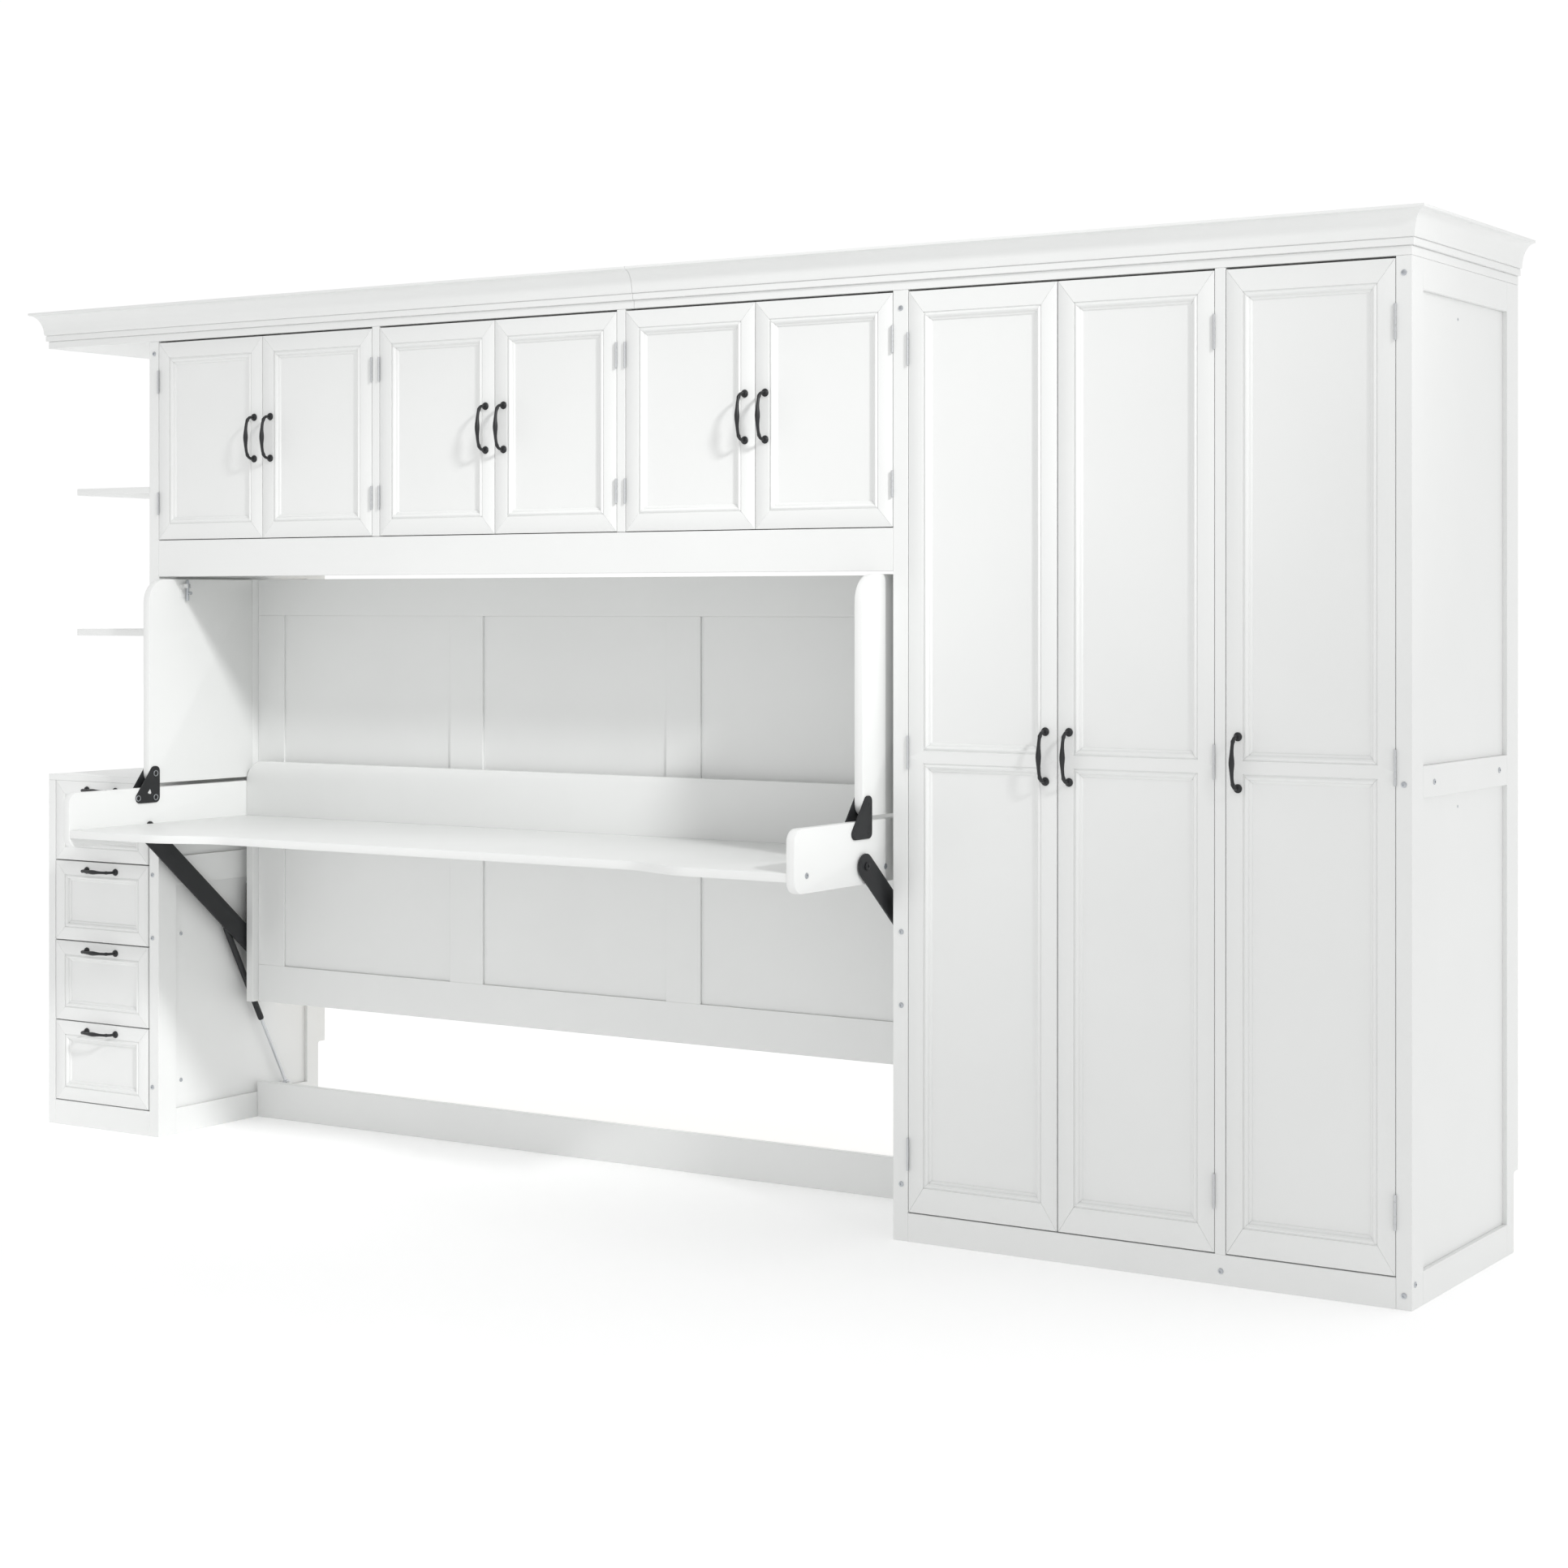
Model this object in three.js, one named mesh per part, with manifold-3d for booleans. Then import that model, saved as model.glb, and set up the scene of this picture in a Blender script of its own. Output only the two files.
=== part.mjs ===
// Horizontal murphy wall bed with a levelling desk, an overhead cabinet, a wardrobe and a drawer tower.
// Millimetres, +Z up, the doors face -Y. The frame's origin is under the middle of the whole piece.
import * as THREE from "three";
import { mergeVertices } from "three/addons/utils/BufferGeometryUtils.js";
import Module from "manifold-3d";

const wasm = await Module();
wasm.setup();

// ---------- driving dimensions ----------
// Lengths are laid out from the wardrobe's right face (x = 0, growing to the left as minus)
// and from the plane of the doors (y = 0, growing to the wall).
const DEPTH = 584; // doors to wall
const CARCASS_TOP = 1889; // top of the sides, under the crown
const BOARD = 18;
const GAP = 0.3; // between touching pieces
const NOTCH = { deep: 25, high: 157 }; // room for a skirting board at the foot of each side

const WARDROBE_LEFT = -1076;
const NICHE_LEFT = -3098; // inner face of the bed niche's left side
const SIDE = 30; // thickness of the outer sides
const TOWER_LEFT = -3469;
const TOWER_TOP = 852;
const CROWN_IN = -19; // back of the crown, behind the fascia's face

const DOOR_TOP = 1885;
const WARDROBE_DOOR_FOOT = 59;
const UPPER_DOOR_FOOT = 1419;
const VALANCE = { foot: 1331, top: 1417 };

const BED = {
  left: -3073, // outer face of the left end board
  right: -1101,
  board: 20,
  foot: 294,
  top: 1326,
  front: 272, // front edge of the end boards
  face: 292, // front of the framed face, which is the underside when the bed is down
  back: 385, // no deeper, so that the foot of the tray clears the wall as it swings
};
const DESK = { front: -325, back: 268, foot: 711, sideTop: 836, top: 752, backTop: 884 };
const LEG = { front: -75, foot: 845, top: 1325 };

// Pivots of the parallelogram in the (y, z) plane: bed on cabinet, desk on leg, bar on desk, bar on cabinet.
const BED_PIVOT = [326, 543];
const DESK_PIVOT = [-57, 869];
const BAR_TOP = [-74, 748];
const BAR_FOOT = [
  BED_PIVOT[0] + BAR_TOP[0] - DESK_PIVOT[0],
  BED_PIVOT[1] + BAR_TOP[1] - DESK_PIVOT[1],
];
const STRUT_TOP = [213, 486];
const STRUT_FOOT = [432, 70];

const SHIFT = new THREE.Vector3(-TOWER_LEFT / 2, -(DEPTH + DESK.front) / 2, 0);

// ---------- materials ----------
const finish = (color, roughness, metalness) =>
  new THREE.MeshStandardMaterial({ color, roughness, metalness });
const paint = finish(0xf2f3f2, 0.45, 0);
const liner = finish(0xe6e7e6, 0.6, 0);
const blackSteel = finish(0x1d1d1f, 0.4, 0.6);
const poplar = finish(0xc7a673, 0.7, 0);
const chrome = finish(0xc8cacc, 0.15, 1);

// ---------- solids ----------
function toSolid(geometry) {
  const g = geometry.clone();
  g.deleteAttribute("normal");
  g.deleteAttribute("uv");
  const merged = mergeVertices(g, 1e-4);
  return new wasm.Manifold(
    new wasm.Mesh({
      numProp: 3,
      vertProperties: new Float32Array(merged.attributes.position.array),
      triVerts: new Uint32Array(merged.index.array),
    }),
  );
}

function toGeometry(solid) {
  const m = solid.getMesh();
  const g = new THREE.BufferGeometry();
  const points = new Float32Array((m.vertProperties.length / m.numProp) * 3);
  for (let i = 0; i < points.length / 3; i++)
    for (let k = 0; k < 3; k++) points[3 * i + k] = m.vertProperties[i * m.numProp + k];
  g.setAttribute("position", new THREE.BufferAttribute(points, 3));
  g.setIndex(new THREE.BufferAttribute(new Uint32Array(m.triVerts), 1));
  const flat = g.toNonIndexed();
  flat.computeVertexNormals();
  return flat;
}

const join = (solids) => solids.reduce((a, b) => a.add(b));
const cut = (solid, holes) => holes.reduce((a, b) => a.subtract(b), solid);

// A board between two limits on each axis.
function board(x0, x1, y0, y1, z0, z1) {
  const g = new THREE.BoxGeometry(x1 - x0, y1 - y0, z1 - z0);
  g.translate((x0 + x1) / 2, (y0 + y1) / 2, (z0 + z1) / 2);
  return toSolid(g);
}

// A plate cut to an outline in the (y, z) plane, from x0 to x1.
function plateYZ(outline, x0, x1, curveSegments = 5) {
  const depth = x1 - x0;
  const g = new THREE.ExtrudeGeometry(outline, { depth, bevelEnabled: false, curveSegments });
  g.applyMatrix4(new THREE.Matrix4().set(0, 0, 1, x0, 1, 0, 0, 0, 0, 1, 0, 0, 0, 0, 0, 1));
  return toSolid(g);
}

// A round pin along X through the point (y, z).
function pinX([y, z], radius, x0, x1, sides = 12) {
  const g = new THREE.CylinderGeometry(radius, radius, x1 - x0, sides);
  g.rotateZ(Math.PI / 2);
  g.translate((x0 + x1) / 2, y, z);
  return toSolid(g);
}

// A closed outline through corners [a, b, radius], each rounded by its own radius.
function rounded(corners) {
  const shape = new THREE.Shape();
  corners.forEach(([a, b, r], i) => {
    const corner = new THREE.Vector2(a, b);
    const [pa, pb] = corners.at(i - 1);
    const [na, nb] = corners[(i + 1) % corners.length];
    const toPrevious = new THREE.Vector2(pa, pb).sub(corner).normalize();
    const toNext = new THREE.Vector2(na, nb).sub(corner).normalize();
    if (!r) {
      if (i) shape.lineTo(a, b);
      else shape.moveTo(a, b);
      return;
    }
    const angle = Math.acos(toPrevious.dot(toNext));
    const reach = r / Math.tan(angle / 2);
    const start = corner.clone().addScaledVector(toPrevious, reach);
    const end = corner.clone().addScaledVector(toNext, reach);
    const toCentre = toPrevious.clone().add(toNext).normalize();
    const centre = corner.clone().addScaledVector(toCentre, r / Math.sin(angle / 2));
    const from = Math.atan2(start.y - centre.y, start.x - centre.x);
    const to = Math.atan2(end.y - centre.y, end.x - centre.x);
    if (i) shape.lineTo(start.x, start.y);
    else shape.moveTo(start.x, start.y);
    const turnsRight = toPrevious.x * toNext.y - toPrevious.y * toNext.x > 0;
    shape.absarc(centre.x, centre.y, r, from, to, turnsRight);
  });
  shape.closePath();
  return shape;
}

const group = new THREE.Group();
group.position.copy(SHIFT);
function add(name, solid, material = paint) {
  const mesh = new THREE.Mesh(toGeometry(solid), material.clone());
  mesh.name = name;
  group.add(mesh);
}

// ---------- sides: framed boards with sunk fields ----------
const SUNK = 9; // depth of a field below its frame
function framedSide(x0, x1, fields) {
  const outline = rounded([
    [0, 0, 0],
    [DEPTH - NOTCH.deep, 0, 0],
    [DEPTH - NOTCH.deep, NOTCH.high, 0],
    [DEPTH, NOTCH.high, 0],
    [DEPTH, CARCASS_TOP, 0],
    [0, CARCASS_TOP, 0],
  ]);
  const pockets = fields.map(([y0, y1, z0, z1]) => board(x1 - SUNK, x1 + 1, y0, y1, z0, z1));
  return cut(plateYZ(outline, x0, x1), pockets);
}

const FRONT_STILE = 58;
const BACK_STILE = DEPTH - 66;
const PLINTH = 61; // top of the bottom rails
const WARDROBE_MID_RAIL = [914, 972];
const NICHE_MID_RAIL = [596, 663];
const TOP_RAIL = 1832;
add(
  "wardrobe_right_side",
  framedSide(-SIDE, 0, [
    [FRONT_STILE, BACK_STILE, PLINTH, WARDROBE_MID_RAIL[0]],
    [FRONT_STILE, BACK_STILE, WARDROBE_MID_RAIL[1], TOP_RAIL],
  ]),
);

const STUD = { radius: 4, out: 22 }; // the strut's stud on each wall of the niche
const strutStud = (x0, x1) => pinX(STRUT_FOOT, STUD.radius, x0, x1);
const nicheSide = framedSide(NICHE_LEFT - SIDE, NICHE_LEFT, [
  [FRONT_STILE, BACK_STILE, PLINTH, NICHE_MID_RAIL[0]],
  [FRONT_STILE, BACK_STILE, NICHE_MID_RAIL[1], VALANCE.foot],
]);
add("niche_left_side", nicheSide.add(strutStud(NICHE_LEFT - SUNK - 2, NICHE_LEFT + STUD.out)));

const POST = 34; // width of the face frame's left post
const FRAME_DEEP = 22;
const BEHIND_FRAME = FRAME_DEEP + GAP;
const WARDROBE_SIDE = 20;
const leftSide = board(
  WARDROBE_LEFT, WARDROBE_LEFT + WARDROBE_SIDE, BEHIND_FRAME, DEPTH - NOTCH.deep, 0, CARCASS_TOP,
);
add("wardrobe_left_side", leftSide.add(strutStud(WARDROBE_LEFT - STUD.out, WARDROBE_LEFT + 1)));

// ---------- wardrobe ----------
const DIVIDER = [-382, -361]; // its face in the frame
const PANEL = 12; // thickness of the backs
const INNER_BACK = DEPTH - PANEL;
const SKIRT_BACK = DEPTH - NOTCH.deep; // the back steps forward to here at its foot
const SKIRT_LEDGE = NOTCH.high + 15; // top of that step
const FLOOR = [40, 58.5];
const FRAME_FOOT = 56.5; // top of the frame's bottom rail
const dividerX = [DIVIDER[0] + 1, DIVIDER[1] - 1];
const dividerZ = [FLOOR[1] + 0.5, SKIRT_LEDGE + 5];
const dividerFoot = board(...dividerX, BEHIND_FRAME, SKIRT_BACK - PANEL - GAP, ...dividerZ);
const dividerUpper = board(...dividerX, BEHIND_FRAME, INNER_BACK - GAP, SKIRT_LEDGE + 1, CARCASS_TOP);
add("wardrobe_divider", dividerFoot.add(dividerUpper));
add(
  "wardrobe_face_frame",
  join([
    board(WARDROBE_LEFT, WARDROBE_LEFT + POST, 0, FRAME_DEEP, 0, CARCASS_TOP),
    board(WARDROBE_LEFT + POST - 1, -SIDE - GAP, 0, FRAME_DEEP, 0, FRAME_FOOT),
    board(...DIVIDER, 0, FRAME_DEEP, FRAME_FOOT - 1, CARCASS_TOP),
  ]),
);
const wardrobeInside = [WARDROBE_LEFT + WARDROBE_SIDE + GAP, -SIDE - GAP];
const RAIL = { y: 300, z: 1730, radius: 12, hanger: 16, hangerX: -720 };
const railX = [wardrobeInside[0], dividerX[0] - GAP];
const hangerX = [RAIL.hangerX - RAIL.hanger / 2, RAIL.hangerX + RAIL.hanger / 2];
const cabinetTop = (x0, x1) => board(x0, x1, BOARD + 4, DEPTH - 1, CARCASS_TOP + GAP, CARCASS_TOP + BOARD);
add(
  "wardrobe_shell",
  join([
    board(...wardrobeInside, BEHIND_FRAME, SKIRT_BACK, ...FLOOR),
    board(...wardrobeInside, INNER_BACK, DEPTH - 1, SKIRT_LEDGE - PANEL, CARCASS_TOP + 1),
    board(...wardrobeInside, SKIRT_BACK - PANEL, SKIRT_BACK, FLOOR[1] - 0.5, SKIRT_LEDGE),
    board(...wardrobeInside, SKIRT_BACK - PANEL, DEPTH - 1, SKIRT_LEDGE - PANEL, SKIRT_LEDGE),
    cabinetTop(WARDROBE_LEFT + GAP, CROWN_IN - GAP),
    pinX([RAIL.y, RAIL.z], RAIL.radius, ...railX),
    board(...hangerX, RAIL.y - 10, RAIL.y + 10, RAIL.z + 5, CARCASS_TOP + 1),
  ]),
  liner,
);

// ---------- overhead cabinet, valance and open shelves ----------
const PARTITIONS = [[-2434.5, -2413.5], [-1755, -1733.5]];
const DECK = [UPPER_DOOR_FOOT - BOARD - 1, UPPER_DOOR_FOOT - 1];
const nicheInside = [NICHE_LEFT + GAP, WARDROBE_LEFT - GAP];
add(
  "upper_cabinet_shell",
  join([
    board(...nicheInside, 20, DEPTH - 1, ...DECK),
    board(...nicheInside, INNER_BACK, DEPTH - 1, DECK[0], CARCASS_TOP + 1),
    cabinetTop(TOWER_LEFT - CROWN_IN + GAP, WARDROBE_LEFT - GAP),
    ...PARTITIONS.flatMap(([x0, x1]) => [
      board(x0, x1, 0, BOARD + 3, DECK[1] - 1, CARCASS_TOP),
      board(x0, x1, BOARD + 2, DEPTH - 1, DECK[1] - 1, CARCASS_TOP + 1),
    ]),
  ]),
);
add("valance", board(...nicheInside, 0, BOARD, VALANCE.foot, VALANCE.top));
const SHELF = { left: -3379, back: DEPTH - 40, thick: 16 };
for (const [name, z] of [["upper_shelf", 1529], ["lower_shelf", 1190]])
  add(name, board(SHELF.left, NICHE_LEFT - SIDE - GAP, 0, SHELF.back, z, z + SHELF.thick));

// ---------- crown ----------
// The profile's points are [out from the fascia, height],
// and the run is carried round both front corners by mitres.
const FASCIA_TOP = 1907;
const CROWN_TOP = 1975;
const CROWN_OUT = 35;
const LIP = 5; // height of the crown's top edge
const COVE = { out: 8, foot: 1922 };
const cove = [0.25, 0.5, 0.75].map((t) => {
  const turn = (t * Math.PI) / 2;
  const out = COVE.out + (CROWN_OUT - COVE.out - 1) * (1 - Math.cos(turn));
  return [out, COVE.foot + (CROWN_TOP - LIP - COVE.foot) * Math.sin(turn)];
});
const crownProfile = [
  [CROWN_IN, CARCASS_TOP + GAP],
  [0, CARCASS_TOP + GAP],
  [0, FASCIA_TOP],
  [5, FASCIA_TOP],
  [5, COVE.foot - 1],
  [COVE.out, COVE.foot],
  ...cove,
  [CROWN_OUT, CROWN_TOP - LIP],
  [CROWN_OUT, CROWN_TOP],
  [CROWN_OUT - 14, CROWN_TOP],
  [CROWN_IN, COVE.foot - 1],
];
// A run through the stations, each a corner on plan with the way that the profile reaches out of it.
function mitredRun(stations, profile) {
  const points = [];
  const faces = [];
  const n = profile.length;
  for (const { at, out } of stations)
    for (const [o, z] of profile) points.push(at[0] + o * out[0], at[1] + o * out[1], z);
  for (let s = 0; s + 1 < stations.length; s++)
    for (let i = 0; i < n; i++) {
      const j = (i + 1) % n;
      const [a, b, c, d] = [s * n + i, s * n + j, (s + 1) * n + j, (s + 1) * n + i];
      faces.push(a, c, b, a, d, c);
    }
  const cap = THREE.ShapeUtils.triangulateShape(profile.map(([o, z]) => new THREE.Vector2(o, z)), []);
  const last = (stations.length - 1) * n;
  for (const [a, b, c] of cap) {
    faces.push(a, b, c);
    faces.push(last + a, last + c, last + b);
  }
  const g = new THREE.BufferGeometry();
  g.setAttribute("position", new THREE.Float32BufferAttribute(points, 3));
  g.setIndex(faces);
  return g;
}
const crownStations = [
  { at: [TOWER_LEFT, DEPTH], out: [-1, 0] },
  { at: [TOWER_LEFT, 0], out: [-1, -1] },
  { at: [0, 0], out: [1, -1] },
  { at: [0, DEPTH], out: [1, 0] },
];
add("crown_moulding", toSolid(mitredRun(crownStations, crownProfile)));

// ---------- doors ----------
const DOOR = { rail: 45, sunk: 7, sunkBehind: 5, gap: 1.5 };
function framedDoor(x0, x1, z0, z1, midRails = []) {
  const edges = [z0, ...midRails.flat(), z1];
  const holes = [];
  for (let i = 0; i < edges.length; i += 2) {
    const foot = i ? edges[i] : z0 + DOOR.rail;
    const head = i + 2 < edges.length ? edges[i + 1] : z1 - DOOR.rail;
    for (const [y0, y1] of [[-1, DOOR.sunk], [BOARD - DOOR.sunkBehind, BOARD + 1]])
      holes.push(board(x0 + DOOR.rail, x1 - DOOR.rail, y0, y1, foot, head));
  }
  return cut(board(x0, x1, 0, BOARD, z0, z1), holes);
}

// A pull: two feet, and a bar that bows out between them, along Z or X from the centre of its feet.
const PULL = { centres: 96, inset: 24, bow: 30, bar: 4.5, foot: 8.5, footHigh: 5 };
function pull(x, y, z, alongX) {
  const reach = PULL.centres / 2;
  // Shares of the way to the middle, and of the bow.
  const bend = [[0, 0], [0.07, 0.53], [0.38, 0.83], [1, 1]];
  const near = bend.map(([t, out]) => new THREE.Vector3(0, -PULL.bow * out, reach * (t - 1)));
  const far = near.slice(0, -1).reverse().map((p) => new THREE.Vector3(0, p.y, -p.z));
  const section = new THREE.Shape().absarc(0, 0, PULL.bar, 0, 2 * Math.PI);
  const extrudePath = new THREE.CatmullRomCurve3([...near, ...far]);
  const bar = new THREE.ExtrudeGeometry(section, { steps: 14, extrudePath, curveSegments: 3 });
  const feet = [-reach, reach].map((along) => {
    const foot = new THREE.CylinderGeometry(PULL.foot, PULL.foot, PULL.footHigh, 10);
    foot.translate(0, -PULL.footHigh / 2, along);
    return toSolid(foot);
  });
  const behindFeet = board(-30, 30, -GAP, 20, -2 * reach, 2 * reach);
  const whole = join([toSolid(bar), ...feet]).subtract(behindFeet);
  return whole.rotate(alongX ? [0, 90, 0] : [0, 0, 0]).translate([x, y, z]);
}

const upperRuns = [
  [NICHE_LEFT, PARTITIONS[0][0]],
  [PARTITIONS[0][1], PARTITIONS[1][0]],
  [PARTITIONS[1][1], WARDROBE_LEFT],
];
const doors = upperRuns.flatMap(([x0, x1], i) => {
  const meet = [(x0 + x1) / 2 - 1, (x0 + x1) / 2 + 1];
  return [
    { name: `upper_door_${2 * i + 1}`, x: [x0 + DOOR.gap, meet[0]], pullAt: meet[0] - PULL.inset },
    { name: `upper_door_${2 * i + 2}`, x: [meet[1], x1 - DOOR.gap], pullAt: meet[1] + PULL.inset },
  ];
});
const upperZ = [UPPER_DOOR_FOOT, DOOR_TOP];
for (const { name, x, pullAt } of doors) {
  add(name, framedDoor(...x, ...upperZ));
  add(name.replace("door", "pull"), pull(pullAt, 0, (UPPER_DOOR_FOOT + DOOR_TOP) / 2 - 2, false), blackSteel);
}

// The wardrobe's doors: a pair that meets in the middle, and a single one on the right.
const MEET = -710;
const wardrobeDoors = [
  { x: [WARDROBE_LEFT + POST + DOOR.gap, MEET - DOOR.gap], pullAt: MEET - DOOR.gap - PULL.inset },
  { x: [MEET + DOOR.gap, DIVIDER[0] - DOOR.gap], pullAt: MEET + DOOR.gap + PULL.inset },
  { x: [DIVIDER[1] + DOOR.gap, -SIDE - DOOR.gap], pullAt: DIVIDER[1] + DOOR.gap + PULL.inset },
];
const MID_RAIL = [936, 988];
const WARDROBE_PULL = 971;
wardrobeDoors.forEach(({ x, pullAt }, i) => {
  add(`wardrobe_door_${i + 1}`, framedDoor(...x, WARDROBE_DOOR_FOOT, DOOR_TOP, [MID_RAIL]));
  add(`wardrobe_pull_${i + 1}`, pull(pullAt, 0, WARDROBE_PULL, false), blackSteel);
});

// ---------- drawer tower ----------
const TOWER = { side: 24, front: 20, top: 15, floor: [41, 59] };
const towerInside = [TOWER_LEFT + TOWER.side, NICHE_LEFT - SIDE - GAP];
const towerX = [TOWER_LEFT, towerInside[1]];
add(
  "drawer_tower_shell",
  join([
    board(TOWER_LEFT, towerInside[0] - 1, 0, SKIRT_BACK, 0, TOWER_TOP),
    board(...towerX, 0, SKIRT_BACK, TOWER_TOP - TOWER.top, TOWER_TOP),
    board(...towerX, 0, TOWER.front, 0, TOWER.floor[1]),
    board(...towerX, 0, SKIRT_BACK, ...TOWER.floor),
    board(...towerX, SKIRT_BACK - PANEL, SKIRT_BACK, TOWER.floor[0], TOWER_TOP),
  ]),
);
const DRAWER = { count: 4, first: 61.5, pitch: 194.6, high: 191.6, deep: 480, wall: 12 };
const RIM = { sides: 34, head: 38 }; // the flat of a drawer front round its sunk field
const drawerX = [towerInside[0] + 1, towerInside[1] - 5];
const windowX = [drawerX[0] + RIM.sides, drawerX[1] - RIM.sides];
const boxX = [drawerX[0] + DRAWER.wall, drawerX[1] - DRAWER.wall];
const hollowX = [boxX[0] + DRAWER.wall, boxX[1] - DRAWER.wall];
const hollowY = [BOARD + DRAWER.wall, DRAWER.deep - DRAWER.wall];
for (let i = 0; i < DRAWER.count; i++) {
  const foot = DRAWER.first + (DRAWER.count - 1 - i) * DRAWER.pitch;
  const head = foot + DRAWER.high;
  const front = board(...drawerX, 0, BOARD, foot, head)
    .subtract(board(...windowX, -1, DOOR.sunk, foot + RIM.sides, head - RIM.head));
  const box = board(...boxX, BOARD - 1, DRAWER.deep, foot + 14, head - 26)
    .subtract(board(...hollowX, ...hollowY, foot + 23, head));
  add(`drawer_${i + 1}`, front.add(box));
  const middle = (drawerX[0] + drawerX[1]) / 2;
  add(`drawer_pull_${i + 1}`, pull(middle, 0, head - RIM.head / 2 - 1, true), blackSteel);
}

// ---------- rear stretcher of the niche ----------
const STRETCHER = { front: 336, high: 88 };
add("rear_stretcher", board(...nicheInside, STRETCHER.front, STRETCHER.front + BOARD, 0, STRETCHER.high));

// ---------- bed ----------
const bedInner = [BED.left + BED.board + GAP, BED.right - BED.board - GAP];
const FIT = 0.4; // running clearance on a pin's radius
const PIN = { bed: 8, desk: 5, barTop: 6, barFoot: 7, barCollar: 12 }; // radii
const sideX = (left) =>
  left
    ? { inner: BED.left + BED.board, outer: BED.left, out: -1, wall: NICHE_LEFT }
    : { inner: BED.right - BED.board, outer: BED.right, out: 1, wall: WARDROBE_LEFT };
const span = (a, b) => [Math.min(a, b), Math.max(a, b)];
for (const left of [true, false]) {
  const side = left ? "left" : "right";
  const { inner, outer, out } = sideX(left);
  const boardX = span(inner, outer);
  const endBoard = board(...boardX, BED.front, BED.back, BED.foot, BED.top)
    .subtract(pinX(BED_PIVOT, PIN.bed + FIT, ...span(outer - 13 * out, outer + out)));
  add(`bed_end_board_${side}`, endBoard);
  const leg = rounded([
    [LEG.front, LEG.foot, 26],
    [BED.front - GAP, LEG.foot, 0],
    [BED.front - GAP, LEG.top, 0],
    [LEG.front, LEG.top, 55],
  ]);
  add(
    `bed_leg_${side}`,
    plateYZ(leg, ...boardX).subtract(pinX(DESK_PIVOT, PIN.desk + FIT, boardX[0] - 1, boardX[1] + 1)),
  );
}
const FACE = { thick: 12, sunk: 5, fieldZ: [384, 1238] };
const faceFields = [[-2968, -2449], [-2352, -1833], [-1741, -1222]];
add(
  "bed_face",
  cut(
    join([
      board(...bedInner, BED.face, BED.face + FACE.thick, BED.foot, BED.top),
      board(...bedInner, BED.face + 1, BED.back, BED.foot, BED.foot + BED.board),
      board(...bedInner, BED.face + 1, BED.back, BED.top - BED.board, BED.top),
    ]),
    faceFields.map(([x0, x1]) => board(x0, x1, BED.face - 1, BED.face + FACE.sunk, ...FACE.fieldZ)),
  ),
);
const BEARER = 25;
const SLAT = { wide: 70, thick: 14, count: 13, ends: 30, front: BED.face + FACE.thick + BEARER - 3 };
const slatZ = [BED.foot + BED.board + GAP, BED.top - BED.board - GAP];
const slatPitch = (bedInner[1] - bedInner[0] - 2 * SLAT.ends) / SLAT.count;
const slats = [];
for (let i = 0; i < SLAT.count; i++) {
  const x = bedInner[0] + SLAT.ends + slatPitch * (i + 0.5);
  slats.push(board(x - SLAT.wide / 2, x + SLAT.wide / 2, SLAT.front, SLAT.front + SLAT.thick, ...slatZ));
}
for (const z of [slatZ[0], (slatZ[0] + slatZ[1] - BEARER) / 2, slatZ[1] - BEARER])
  slats.push(board(...bedInner, BED.face + FACE.thick + GAP, SLAT.front + 1, z, z + BEARER));
add("slat_base", join(slats), poplar);

// A bolt inside the left leg, with its thumb piece.
const LATCH = { x: BED.left + BED.board + 4, y: 42, z: 1296, thick: 8 };
const latchY = [LATCH.y - LATCH.thick / 2, LATCH.y + LATCH.thick / 2];
const bolt = board(LATCH.x, LATCH.x + LATCH.thick, ...latchY, LATCH.z - 22, LATCH.z + 28);
const thumb = board(LATCH.x + LATCH.thick - 1, LATCH.x + 2 * LATCH.thick, ...latchY, LATCH.z - 8, LATCH.z);
add("latch_bolt", bolt.add(thumb), blackSteel);

// ---------- desk ----------
const WING = 330; // length of each end where the top reaches right forward
const EASE = 190; // length of the curve from an end to the shallower middle
const SET_BACK = 55;
function deskTop() {
  const [x0, x1] = bedInner;
  const y0 = DESK.front + 2;
  const shape = new THREE.Shape();
  shape.moveTo(x0, y0);
  shape.lineTo(x0 + WING - EASE / 2, y0);
  shape.bezierCurveTo(x0 + WING, y0, x0 + WING, y0 + SET_BACK, x0 + WING + EASE / 2, y0 + SET_BACK);
  shape.lineTo(x1 - WING - EASE / 2, y0 + SET_BACK);
  shape.bezierCurveTo(x1 - WING, y0 + SET_BACK, x1 - WING, y0, x1 - WING + EASE / 2, y0);
  shape.lineTo(x1, y0);
  shape.lineTo(x1, DESK.back - BOARD - GAP);
  shape.lineTo(x0, DESK.back - BOARD - GAP);
  shape.closePath();
  const g = new THREE.ExtrudeGeometry(shape, { depth: BOARD, bevelEnabled: false, curveSegments: 8 });
  g.translate(0, 0, DESK.top - BOARD);
  return toSolid(g);
}
add("desk_top", deskTop());
const backOutline = rounded([
  [bedInner[0], DESK.top - BOARD, 0],
  [bedInner[1], DESK.top - BOARD, 0],
  [bedInner[1], DESK.backTop, 50],
  [bedInner[0], DESK.backTop, 50],
]);
const backBoard = new THREE.ExtrudeGeometry(backOutline, {
  depth: BOARD,
  bevelEnabled: false,
  curveSegments: 6,
});
backBoard.rotateX(Math.PI / 2);
backBoard.translate(0, DESK.back, 0);
add("desk_back_board", toSolid(backBoard));

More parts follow.
